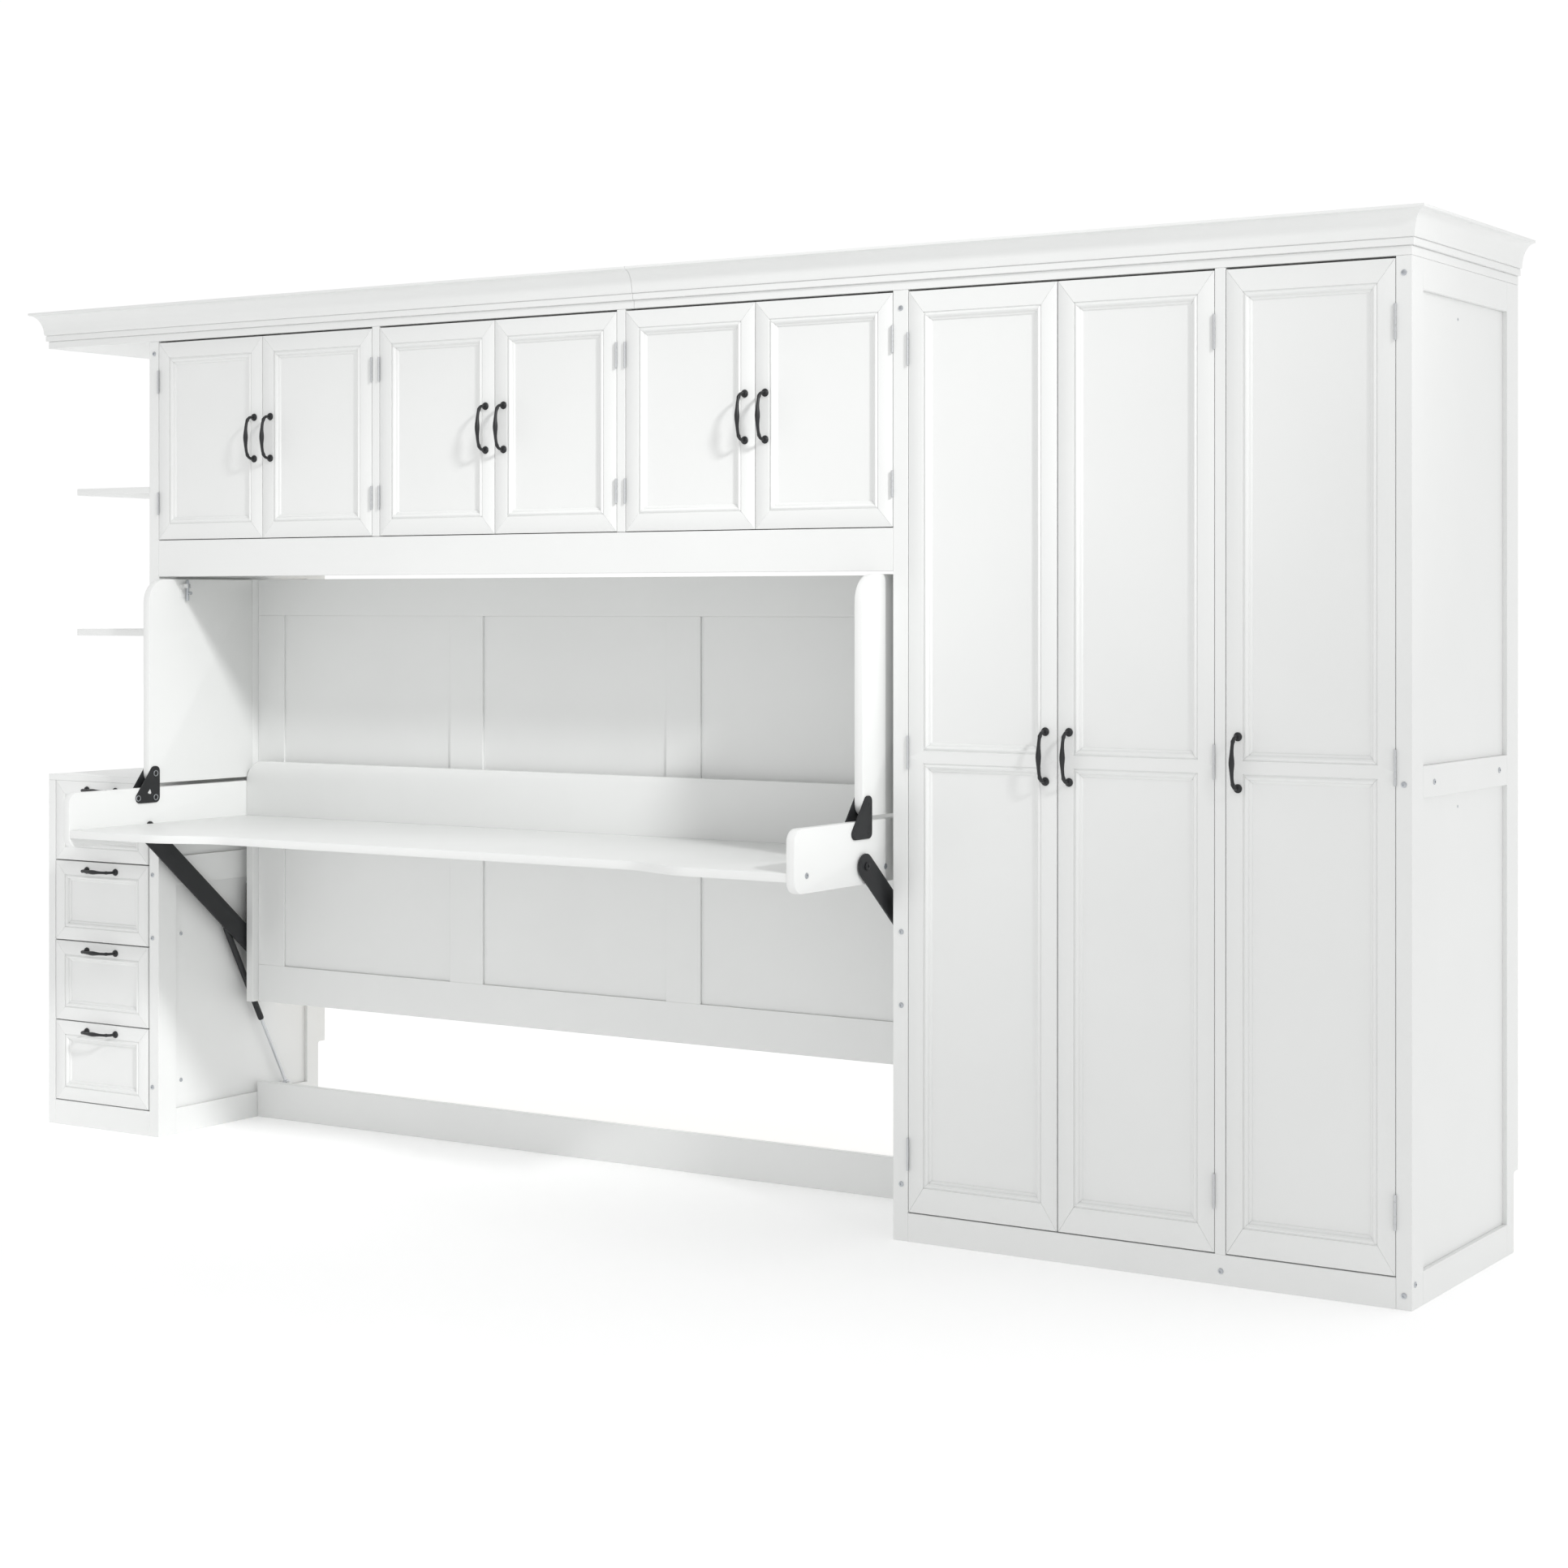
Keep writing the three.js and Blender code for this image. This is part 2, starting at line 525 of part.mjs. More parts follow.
const PLATE = 3;
const hingeOutline = rounded([
  [-132, 801, 12],
  [-44, 801, 12],
  [-44, 886, 12],
  [-66, 886, 12],
]);
const BAR = { wide: 50, thick: 4.6, out: PLATE + 2 * GAP };
const CYLINDER = { radius: 7.4, long: 276, bore: 5.2, cap: 14, out: 16.3 }; // the gas strut's
const ROD = { radius: 4, inside: 20, eye: 9, eyeWide: 10 };
for (const left of [true, false]) {
  const side = left ? "left" : "right";
  const { inner, outer, out } = sideX(left);
  const boardX = span(inner, outer);
  const deskSide = rounded([
    [DESK.front, DESK.foot, 26],
    [DESK.back, DESK.foot, 0],
    [DESK.back, DESK.sideTop, 0],
    [DESK.front, DESK.sideTop, 26],
  ]);
  const barPin = pinX(BAR_TOP, PIN.barTop, ...span(outer - out, outer + 10.5 * out));
  add(`desk_side_${side}`, plateYZ(deskSide, ...boardX).add(barPin));
  add(
    `desk_hinge_${side}`,
    join([
      plateYZ(hingeOutline, ...span(outer + GAP * out, outer + (GAP + PLATE) * out)),
      plateYZ(hingeOutline, ...span(inner - GAP * out, inner - (GAP + PLATE) * out)),
      pinX(DESK_PIVOT, PIN.desk, ...span(inner - (GAP + PLATE) * out, outer + (GAP + PLATE) * out)),
    ]),
    blackSteel,
  );

  // The bar turns on the cabinet's pivot plate, and a tab at its lower edge takes the gas strut.
  const barX = span(outer + BAR.out * out, outer + (BAR.out + BAR.thick) * out);
  const [fy, fz] = BAR_FOOT;
  const lean = Math.atan2(BAR_TOP[1] - fz, BAR_TOP[0] - fy);
  const barLength = Math.hypot(BAR_TOP[0] - fy, BAR_TOP[1] - fz);
  const bar = new THREE.Shape();
  bar.moveTo(0, -BAR.wide / 2);
  bar.lineTo(barLength, -BAR.wide / 2);
  bar.absarc(barLength, 0, BAR.wide / 2, -Math.PI / 2, Math.PI / 2);
  bar.lineTo(0, BAR.wide / 2);
  bar.absarc(0, 0, BAR.wide / 2, Math.PI / 2, (3 * Math.PI) / 2);
  const foot = new THREE.Vector2(fy, fz);
  const along = bar.getPoints(5).map((p) => p.rotateAround(new THREE.Vector2(), lean).add(foot));
  const tab = rounded([
    [STRUT_TOP[0] - 16, STRUT_TOP[1] + 22, 0],
    [STRUT_TOP[0] - 10, STRUT_TOP[1] - 12, 8],
    [STRUT_TOP[0] + 14, STRUT_TOP[1] - 12, 8],
    [STRUT_TOP[0] + 40, STRUT_TOP[1] + 10, 0],
  ]);
  add(
    `link_bar_${side}`,
    cut(join([plateYZ(new THREE.Shape(along), ...barX), plateYZ(tab, ...barX)]), [
      pinX(BAR_TOP, PIN.barTop + FIT, barX[0] - 1, barX[1] + 1),
      pinX(BAR_FOOT, PIN.barFoot + FIT, barX[0] - 1, barX[1] + 1),
    ]),
    blackSteel,
  );

  // ---------- pivot plate on the cabinet, with the axles of the bed and the bar ----------
  const { wall } = sideX(left);
  const plateX = span(wall - GAP * out, wall - 3.8 * out);
  const pivotOutline = rounded([
    [296, 430, 6],
    [312, 372, 6],
    [346, 372, 6],
    [346, 583, 6],
    [296, 583, 6],
  ]);
  add(
    `pivot_plate_${side}`,
    join([
      plateYZ(pivotOutline, ...plateX, 3),
      pinX(BED_PIVOT, PIN.bed, ...span(wall - 3 * out, outer - 11 * out)),
      pinX(BAR_FOOT, PIN.barFoot, ...span(wall - 3 * out, outer + GAP * 2 * out)),
      pinX(BAR_FOOT, PIN.barCollar, ...span(wall - 3 * out, outer + (BAR.out + BAR.thick + GAP * 2) * out)),
    ]),
    blackSteel,
  );

  // ---------- gas strut: rod on the cabinet's stud, cylinder on the bar's tab ----------
  const strutX = outer + CYLINDER.out * out;
  const strutLength = Math.hypot(STRUT_TOP[0] - STRUT_FOOT[0], STRUT_TOP[1] - STRUT_FOOT[1]);
  const strutLean = Math.atan2(STRUT_TOP[1] - STRUT_FOOT[1], STRUT_TOP[0] - STRUT_FOOT[0]);
  const placed = (geometry) => {
    geometry.rotateX(strutLean);
    geometry.translate(strutX, ...STRUT_FOOT);
    return toSolid(geometry);
  };
  const profile = [
    [0, strutLength],
    [CYLINDER.radius, strutLength],
    [CYLINDER.radius, strutLength - CYLINDER.long],
    [CYLINDER.bore, strutLength - CYLINDER.long],
    [CYLINDER.bore, strutLength - CYLINDER.cap],
    [0, strutLength - CYLINDER.cap],
  ].reverse().map(([r, h]) => new THREE.Vector2(r, h));
  const stud = pinX(STRUT_TOP, 5, ...span(strutX, outer + (BAR.out + BAR.thick + GAP) * out));
  add(`strut_cylinder_${side}`, placed(new THREE.LatheGeometry(profile, 14)).add(stud), blackSteel);
  const rodLong = strutLength - CYLINDER.long + ROD.inside;
  const rod = new THREE.CylinderGeometry(ROD.radius, ROD.radius, rodLong, 12);
  rod.translate(0, rodLong / 2, 0);
  const eye = pinX(STRUT_FOOT, ROD.eye, strutX - ROD.eyeWide / 2, strutX + ROD.eyeWide / 2, 14);
  add(
    `strut_rod_${side}`,
    placed(rod).add(eye).subtract(pinX(STRUT_FOOT, STUD.radius + FIT, strutX - 12, strutX + 12)),
    chrome,
  );
}

export default group;
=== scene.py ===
# %% [markdown]
# # A wall bed with a levelling desk
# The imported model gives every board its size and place. This lesson dresses it: framed doors with a
# moulded edge, a mitred crown, turned pulls, folded steel and painted board.
# Everything is worked out in millimetres and handed to Blender in metres.

# %% Load the frame
import math

import bmesh
import bpy
import numpy as np
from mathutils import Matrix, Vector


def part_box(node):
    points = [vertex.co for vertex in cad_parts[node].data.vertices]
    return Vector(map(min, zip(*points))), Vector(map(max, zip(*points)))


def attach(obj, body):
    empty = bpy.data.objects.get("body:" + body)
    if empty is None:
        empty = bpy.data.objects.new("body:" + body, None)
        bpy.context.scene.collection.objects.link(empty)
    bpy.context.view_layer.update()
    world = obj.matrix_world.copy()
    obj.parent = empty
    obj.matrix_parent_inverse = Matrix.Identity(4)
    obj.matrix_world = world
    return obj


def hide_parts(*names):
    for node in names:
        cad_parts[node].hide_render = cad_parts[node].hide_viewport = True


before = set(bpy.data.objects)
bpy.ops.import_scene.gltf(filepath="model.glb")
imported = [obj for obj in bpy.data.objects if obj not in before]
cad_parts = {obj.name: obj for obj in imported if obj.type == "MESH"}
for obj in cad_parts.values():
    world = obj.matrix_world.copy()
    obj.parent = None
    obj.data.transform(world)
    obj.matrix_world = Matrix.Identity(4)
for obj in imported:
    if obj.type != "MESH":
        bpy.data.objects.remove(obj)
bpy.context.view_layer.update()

# %% [markdown]
# ## Where things are
# All measures below are taken from the right end of the wardrobe (x = 0, growing to the left as minus),
# from the plane of the doors (y = 0, growing to the wall) and from the floor. One shift takes them to the
# model's own origin, and it is read from the wardrobe's right side.

# %% Places
MM = 1000.0
side_low, side_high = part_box("wardrobe_right_side")
SHIFT = np.array([side_high[0] * MM, side_low[1] * MM, 0.0])


def limits(node):
    """The node's lowest and highest corner, in millimetres from the wardrobe's right front edge."""
    low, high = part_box(node)
    return np.array(low) * MM - SHIFT, np.array(high) * MM - SHIFT


DEPTH = limits("wardrobe_right_side")[1][1]
SIDE_TOP = limits("wardrobe_right_side")[1][2]
print("depth and height of the sides, mm:", round(DEPTH), round(SIDE_TOP))

# %% [markdown]
# ## Finishes
# White satin lacquer sprayed on fibreboard is an off-white with a soft gloss: its skin has a very fine
# orange peel, and it is never quite even. The bump is drawn coarser than the real one, at 3 mm, so that
# it still shows. Board that is only primed, inside the cases, is duller. The fittings are powder-coated
# steel, whose grain is rough and nearly black, and the pulls are cast iron, a little glossier. The hinges
# are satin nickel, which looks grey against the lacquer, the screws are bright zinc, and the strut rods are
# hard chrome, the smoothest of all. The slats are plain poplar with its grain along the slat.

# %% Colours and node helper
def linear(code):
    """An sRGB hex colour such as 'f2f2f0' as linear RGBA."""
    parts = np.array([int(code[i : i + 2], 16) for i in (0, 2, 4)]) / 255.0
    low = parts / 12.92
    high = ((parts + 0.055) / 1.055) ** 2.4
    return (*np.where(parts <= 0.04045, low, high), 1.0)


def node(tree, kind, inputs=None, **settings):
    """Adds one node, sets its properties, and fills each input with a value or a link from an output."""
    made = tree.nodes.new(kind)
    for key, value in settings.items():
        setattr(made, key, value)
    for key, value in (inputs or {}).items():
        if isinstance(value, bpy.types.NodeSocket):
            tree.links.new(value, made.inputs[key])
        else:
            made.inputs[key].default_value = value
    return made


def finish(name, light, dark, roughness, grain_mm, bump_mm, stretch=(1, 1, 1), metallic=0.0, spread=0.05):
    """A finish whose colour and gloss wander between two values, with a fine bump of the given grain."""
    material = bpy.data.materials.new(name)
    material.use_nodes = True
    tree = material.node_tree
    tree.nodes.clear()
    place = node(tree, "ShaderNodeTexCoord").outputs["Object"]
    scaled = node(tree, "ShaderNodeMapping", {"Vector": place, "Scale": stretch}).outputs["Vector"]
    broad = node(tree, "ShaderNodeTexNoise", {"Vector": scaled, "Scale": 4.0, "Detail": 3.0})
    fine = node(tree, "ShaderNodeTexNoise", {"Vector": scaled, "Scale": MM / grain_mm, "Detail": 2.0})
    mixed = node(
        tree, "ShaderNodeMix", {"Factor": broad.outputs["Fac"], 6: linear(dark), 7: linear(light)},
        data_type="RGBA",
    )
    gloss = node(
        tree, "ShaderNodeMapRange",
        {"Value": fine.outputs["Fac"], "To Min": roughness - spread, "To Max": roughness + spread},
    )
    bump = node(
        tree, "ShaderNodeBump",
        {"Height": fine.outputs["Fac"], "Distance": bump_mm / MM, "Strength": 0.6},
    )
    skin = node(
        tree, "ShaderNodeBsdfPrincipled",
        {
            "Base Color": mixed.outputs[2],
            "Roughness": gloss.outputs["Result"],
            "Normal": bump.outputs["Normal"],
            "Metallic": metallic,
        },
    )
    node(tree, "ShaderNodeOutputMaterial", {"Surface": skin.outputs["BSDF"]})
    return material


SATIN_LACQUER = finish("satin_white_lacquer", "ecedec", "e7e8e7", 0.42, 3.0, 0.05)
PRIMED_BOARD = finish("primed_white_board", "e6e6e3", "dfdfdc", 0.65, 2.0, 0.08)
POWDER_COAT = finish("black_powder_coat", "2b2c2e", "1c1d1f", 0.48, 0.8, 0.06, metallic=0.25)
CAST_BLACK = finish("black_cast_iron", "303133", "1e1f21", 0.42, 1.4, 0.12, metallic=0.35)
NICKEL = finish("satin_nickel_plate", "d3d5d6", "c2c4c6", 0.34, 1.0, 0.01, metallic=0.7)
BRIGHT_ZINC = finish("bright_zinc", "c9ccd0", "aeb2b6", 0.3, 1.0, 0.02, metallic=1.0)
HARD_CHROME = finish("hard_chrome", "d3d5d8", "c4c7ca", 0.16, 1.0, 0.005, metallic=1.0, spread=0.03)
POPLAR = finish("bare_poplar", "e9dfca", "d8c8ab", 0.6, 2.5, 0.15, stretch=(6, 6, 0.35))
print("finishes:", len(bpy.data.materials))

# %% [markdown]
# ## Making a mesh
# Each piece is a grid of points: a loop of points carried through a few stations. The grid closes round
# the loop, and the first and last loops are capped. One function turns such grids into a mesh, so a piece
# can hold several grids. Faces meet at a sharp edge where they turn by more than 30 degrees. Broad faces are
# shaded flat, and narrow ones, such as an eased edge or the facets of a turned pin, are shaded round.

# %% Mesh helpers
SHARP = math.radians(30)
BROAD = 8.0  # millimetres


def read_all(items, field, kind, width=1):
    """One field of every item of a mesh, as a whole array."""
    values = np.empty(len(items) * width, dtype=kind)
    items.foreach_get(field, values)
    return values


def narrow_faces(mesh):
    """True for each face narrower than BROAD, its width taken as its area over its longest side."""
    spots = read_all(mesh.vertices, "co", np.float32, 3).reshape(-1, 3) * MM
    ends = read_all(mesh.edges, "vertices", np.int32, 2).reshape(-1, 2)
    lengths = np.linalg.norm(spots[ends[:, 0]] - spots[ends[:, 1]], axis=1)
    around_faces = lengths[read_all(mesh.loops, "edge_index", np.int32)]
    longest = np.maximum.reduceat(around_faces, read_all(mesh.polygons, "loop_start", np.int32))
    return read_all(mesh.polygons, "area", np.float32) * MM**2 < BROAD * longest


def grid_faces(stations, around, ring):
    """Quads of a grid whose loops close on themselves. A ring joins its last loop to its first; others
    get a cap at each end."""
    row = np.arange(stations if ring else stations - 1)[:, None] * around
    above = (row + around) % (stations * around)
    here = np.arange(around)[None, :]
    step = (here + 1) % around
    quads = np.stack([row + here, row + step, above + step, above + here], axis=-1)
    faces = quads.reshape(-1, 4).tolist()
    if not ring:
        faces.append(list(range(around))[::-1])
        faces.append([(stations - 1) * around + i for i in range(around)])
    return faces


def piece(name, grids, body, material, replaces=(), arris=0.0):
    """One object from (stations, around, 3) grids in millimetres, riding on a body of the frame."""
    points = []
    faces = []
    for grid in grids:
        base = sum(len(p) for p in points)
        ring = np.allclose(grid[0], grid[-1])
        if ring:
            grid = grid[:-1]
        faces += [[base + i for i in face] for face in grid_faces(*grid.shape[:2], ring)]
        points.append(grid.reshape(-1, 3))
    mesh = bpy.data.meshes.new(name)
    mesh.from_pydata(((np.concatenate(points) + SHIFT) / MM).tolist(), [], faces)
    fix_normals(mesh)
    mesh.polygons.foreach_set("use_smooth", narrow_faces(mesh))
    mesh.set_sharp_from_angle(angle=SHARP)
    made = bpy.data.objects.new(name, mesh)
    bpy.context.scene.collection.objects.link(made)
    mesh.materials.append(material)
    if arris:
        bevel = made.modifiers.new("eased_edges", "BEVEL")
        bevel.width = arris / MM
        bevel.segments = 2
        bevel.limit_method = "ANGLE"
    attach(made, body)
    if replaces:
        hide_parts(*replaces)
    return made


def fix_normals(mesh):
    """Points every face of a closed mesh outwards. Grids share no points, so boards that touch stay apart."""
    work = bmesh.new()
    work.from_mesh(mesh)
    bmesh.ops.recalc_face_normals(work, faces=work.faces)
    work.to_mesh(mesh)
    work.free()


def block(x0, x1, y0, y1, z0, z1):
    """A board as a grid of two loops."""
    loop = [[x0, y0], [x1, y0], [x1, y1], [x0, y1]]
    return np.array([[[x, y, z] for x, y in loop] for z in (z0, z1)], dtype=float)


def node_block(node_name):
    low, high = limits(node_name)
    return block(low[0], high[0], low[1], high[1], low[2], high[2])


def rounded(corners, steps=10):
    """A closed outline through corners (a, b, radius), each turned by an arc of its own radius."""
    ring = np.array(corners, dtype=float)
    outline = []
    for before, (a, b, radius), after in zip(np.roll(ring, 1, 0), ring, np.roll(ring, -1, 0)):
        corner = np.array([a, b])
        back = before[:2] - corner
        ahead = after[:2] - corner
        back /= np.linalg.norm(back)
        ahead /= np.linalg.norm(ahead)
        if radius == 0:
            outline.append(corner[None])
            continue
        half = math.acos(np.clip(back @ ahead, -1, 1)) / 2
        middle = (back + ahead) / np.linalg.norm(back + ahead)
        centre = corner + middle * radius / math.sin(half)
        start = corner + back * radius / math.tan(half) - centre
        end = corner + ahead * radius / math.tan(half) - centre
        from_angle = math.atan2(start[1], start[0])
        turn = (math.atan2(end[1], end[0]) - from_angle + math.pi) % (2 * math.pi) - math.pi
        angles = from_angle + turn * np.linspace(0, 1, steps)
        outline.append(centre + radius * np.stack([np.cos(angles), np.sin(angles)], axis=-1))
    return np.concatenate(outline)


def inset(outline, by):
    """The outline moved inwards by a small amount, along the mean of its two edge normals."""
    ahead = np.roll(outline, -1, 0) - outline
    ahead /= np.linalg.norm(ahead, axis=1)[:, None] + 1e-9
    back = np.roll(ahead, 1, 0)
    normals = np.stack([-ahead[:, 1], ahead[:, 0]], -1) + np.stack([-back[:, 1], back[:, 0]], -1)
    lengths = np.linalg.norm(normals, axis=1)[:, None] + 1e-9
    spin = outline * np.roll(outline, -1, 0)[:, ::-1]
    area = (spin[:, 0] - spin[:, 1]).sum()
    mitre = 2.0 / np.maximum(lengths, 1.0)
    return outline + np.sign(area) * normals / lengths * by * mitre


PLANES = {"x": (2, 0, 1), "y": (0, 2, 1), "z": (0, 1, 2)}


def plate(outline, low, high, across, arris=1.0, steps=3):
    """An outline given a thickness across one axis, with a quarter-round of radius arris on both faces."""
    turn = np.linspace(0, math.pi / 2, steps) if arris else np.zeros(1)
    lower = [(arris * (1 - math.sin(t)), low + arris * (1 - math.cos(t))) for t in turn]
    upper = [(arris * (1 - math.cos(t)), high - arris * (1 - math.sin(t))) for t in turn]
    grid = []
    for by, level in lower + upper:
        flat = inset(outline, by)
        columns = np.column_stack([flat, np.full(len(flat), level)])
        grid.append(columns[:, PLANES[across]])
    return np.array(grid)


def lathe(profile, centre, axis, around=20):
    """A turned piece: (radius, height) pairs spun about an axis through the centre."""
    pole = np.array(axis, dtype=float)
    pole /= np.linalg.norm(pole)
    other = np.array([1.0, 0, 0]) if abs(pole[0]) < 0.9 else np.array([0, 1.0, 0])
    right = np.cross(pole, other)
    right /= np.linalg.norm(right)
    front = np.cross(pole, right)
    angle = np.linspace(0, 2 * math.pi, around, endpoint=False)
    spokes = np.cos(angle)[:, None] * right + np.sin(angle)[:, None] * front
    rings = np.array([radius * spokes + pole * height for radius, height in profile])
    return rings + np.array(centre, dtype=float)


print("mesh helpers ready")

# %% [markdown]
# ## Camera and light
# The piece is seen from the wardrobe's end at sitting height, with a long lens, so that its uprights stay
# upright. The backdrop is pure white and the room behind the camera is dimmer, as in a plain white studio.
# The floor glows a little, so that it is as white as the backdrop and no horizon shows. A soft panel draws
# the mouldings, and a soft spot reaches into the recess under the cabinet.

# %% Camera, floor and lights
view = bpy.data.cameras.new("camera")
view.sensor_width = 36
view.lens = 65.65
view.shift_y = -0.1130
camera = bpy.data.objects.new("camera", view)
camera.location = (3.553, -5.0348, 1.2595)
camera.rotation_euler = (math.pi / 2, 0, 0.57121)
bpy.context.scene.collection.objects.link(camera)
bpy.context.scene.camera = camera
bpy.context.scene.view_settings.view_transform = "Standard"

FLOOR_SIZE = 60.0
FLOOR_GLOW = 0.17
floor_mesh = bpy.data.meshes.new("floor")
half_floor = FLOOR_SIZE / 2
floor_corners = [(-half_floor, -half_floor, 0), (half_floor, -half_floor, 0)]
floor_corners += [(half_floor, half_floor, 0), (-half_floor, half_floor, 0)]
floor_mesh.from_pydata(floor_corners, [], [(0, 1, 2, 3)])
floor = bpy.data.objects.new("floor", floor_mesh)
FLOOR_PAPER = finish("white_floor_paper", "ffffff", "fdfdfd", 0.9, 5.0, 0.01)
paper_skin = next(n for n in FLOOR_PAPER.node_tree.nodes if n.type == "BSDF_PRINCIPLED")
paper_skin.inputs["Emission Color"].default_value = linear("ffffff")
paper_skin.inputs["Emission Strength"].default_value = FLOOR_GLOW
floor_mesh.materials.append(FLOOR_PAPER)
bpy.context.scene.collection.objects.link(floor)

sky = bpy.data.worlds.new("sky")
sky.use_nodes = True
direction = node(sky.node_tree, "ShaderNodeTexCoord").outputs["Generated"]
parts = node(sky.node_tree, "ShaderNodeSeparateXYZ", {"Vector": direction})
ROOM_STRENGTH = 0.76
BACKDROP_STRENGTH = 1.02
brightness = node(
    sky.node_tree, "ShaderNodeMapRange",
    {
        "Value": parts.outputs["Y"], "From Min": -0.3, "From Max": 0.15,
        "To Min": ROOM_STRENGTH, "To Max": BACKDROP_STRENGTH,
    },
)
backdrop = sky.node_tree.nodes["Background"]
backdrop.inputs["Color"].default_value = linear("ffffff")
sky.node_tree.links.new(brightness.outputs["Result"], backdrop.inputs["Strength"])
bpy.context.scene.world = sky


def aimed(place, aim):
    """The turn that points a lamp at its aim."""
    x, y, z = np.array(aim) - np.array(place)
    return math.atan2(math.hypot(x, y), -z), 0, math.atan2(-x, y)


def lamp(name, kind, place, aim, power, **settings):
    """A light of the given kind at a place, pointed at another, with its own settings."""
    light = bpy.data.lights.new(name, kind)
    light.energy = power
    for key, value in settings.items():
        setattr(light, key, value)
    holder = bpy.data.objects.new(name, light)
    holder.location = place
    holder.rotation_euler = aimed(place, aim)
    bpy.context.scene.collection.objects.link(holder)


lamp("key_panel", "AREA", (2.4, -5.0, 4.6), (-0.4, 0, 0.9), 8, size=1.6)
lamp(
    "niche_spot", "SPOT", (7.4, -3.5, 5.6), (-0.8, 0.05, 0.80), 2300,
    spot_size=math.radians(14.5), spot_blend=1.0, shadow_soft_size=0.5,
)
print("camera", camera.location[:], "lens", view.lens)

# %% [markdown]
# ## Doors and drawer fronts
# A door is a mitred frame round a sunk panel. Working inwards from its edge there is a flat, a narrow
# quirk, a round bead that stands a little proud, a cove, and then the panel. Every loop of the grid is
# that door's rectangle moved inwards, so the profile below is all that a door needs. Each corner has three
# points, the middle one a little lower: that is the mitre's hairline. A tall door is two such panels, with
# the middle rail between them, and there the flat has no mitre.

# %% The panelled front
FRONT_THICK = 18.0
BEAD_STEPS = np.linspace(0, 1, 7)
QUIRK = [(0.0, 0.0), (0.3, 2.0), (1.6, 2.2)]
BEAD = [(1.6 + 9.4 * t, 2.2 + 0.8 * t - 3.4 * math.sin(math.pi * t)) for t in BEAD_STEPS[1:]]
PANEL_DEEP = 8.2
COVE = [(11.3, 4.4), (12.4, 4.6)]
COVE += [(12.4 + 4.2 * math.sin(a), PANEL_DEEP - 3.6 * math.cos(a)) for a in (0.4, 0.9, 1.4)]
MOULDING = QUIRK + BEAD + COVE
MITRE_HALF = 0.5
MITRE_DEEP = 1.2


def panelled_front(x0, x1, z0, z1, flats, mitred=(1, 1, 1, 1), eased=(1, 1, 1, 1), y=0.0):
    """Nested rectangles from the back of a front to its panel.

    flats are the widths of the flat at left, right, foot and head. mitred says for the corners, from the
    lower left round by the lower right, whether the flat shows a mitre. eased is 1 for each side of the
    front that has a rounded arris. A station's third value says how its corners are drawn: 0 plain, 1 with
    a mitre where mitred says so, 2 always with one.
    """
    flats = np.array(flats, dtype=float)
    eased = np.array(eased, dtype=float)
    stations = [(0.0 * eased, FRONT_THICK, 0.0), (0.0 * eased, 1.0, 0.0)]
    stations += [(0.3 * eased, 0.3, 0.0), (1.0 * eased, 0.0, 1.0)]
    stations += [(flats, 0.0, 1.0)]
    stations += [(flats + by, deep, 2.0) for by, deep in MOULDING[1:]]
    stations += [(flats + 16.8, PANEL_DEEP, 0.0)]
    grid = []
    for (left, right, foot, head), deep, line in stations:
        a, b, c, d = x0 + left, x1 - right, z0 + foot, z1 - head
        loop = []
        corners = [(a, c, 0, 1, 1, 0), (b, c, -1, 0, 0, 1), (b, d, 0, -1, -1, 0), (a, d, 1, 0, 0, -1)]
        for (cx, cz, px, pz, nx, nz), has_mitre in zip(corners, mitred):
            drop = MITRE_DEEP if (line == 2.0 or (line == 1.0 and has_mitre)) else 0.0
            loop.append([cx + px * MITRE_HALF, y + deep, cz + pz * MITRE_HALF])
            loop.append([cx, y + deep + drop, cz])
            loop.append([cx + nx * MITRE_HALF, y + deep, cz + nz * MITRE_HALF])
        grid.append(loop)
    return np.array(grid)


STILE = 33.0
HEAD = 42.0
FOOT = 50.0
for number in range(1, 7):
    door = f"upper_door_{number}"
    low, high = limits(door)
    leaf = panelled_front(low[0], high[0], low[2], high[2], (STILE, STILE, HEAD - 6, HEAD - 6))
    piece(f"{door}_leaf", [leaf], door, SATIN_LACQUER, [door])
MID_RAIL = (936.0, 988.0)
HALF_RAIL = (MID_RAIL[1] - MID_RAIL[0]) / 2
for number in range(1, 4):
    door = f"wardrobe_door_{number}"
    low, high = limits(door)
    middle = sum(MID_RAIL) / 2
    rail = HALF_RAIL - 14
    lower = panelled_front(
        low[0], high[0], low[2], middle, (STILE, STILE, FOOT, rail), (1, 1, 0, 0), (1, 1, 1, 0)
    )
    upper = panelled_front(
        low[0], high[0], middle, high[2], (STILE, STILE, rail, HEAD), (0, 0, 1, 1), (1, 1, 0, 1)
    )
    piece(f"{door}_leaf", [lower, upper], door, SATIN_LACQUER, [door])
print("doors made: 9")

# %% [markdown]
# ## Drawers
# A drawer is a small panelled front on a box of thin boards. The box is drawn board by board, because it
# shows when the drawer is open.

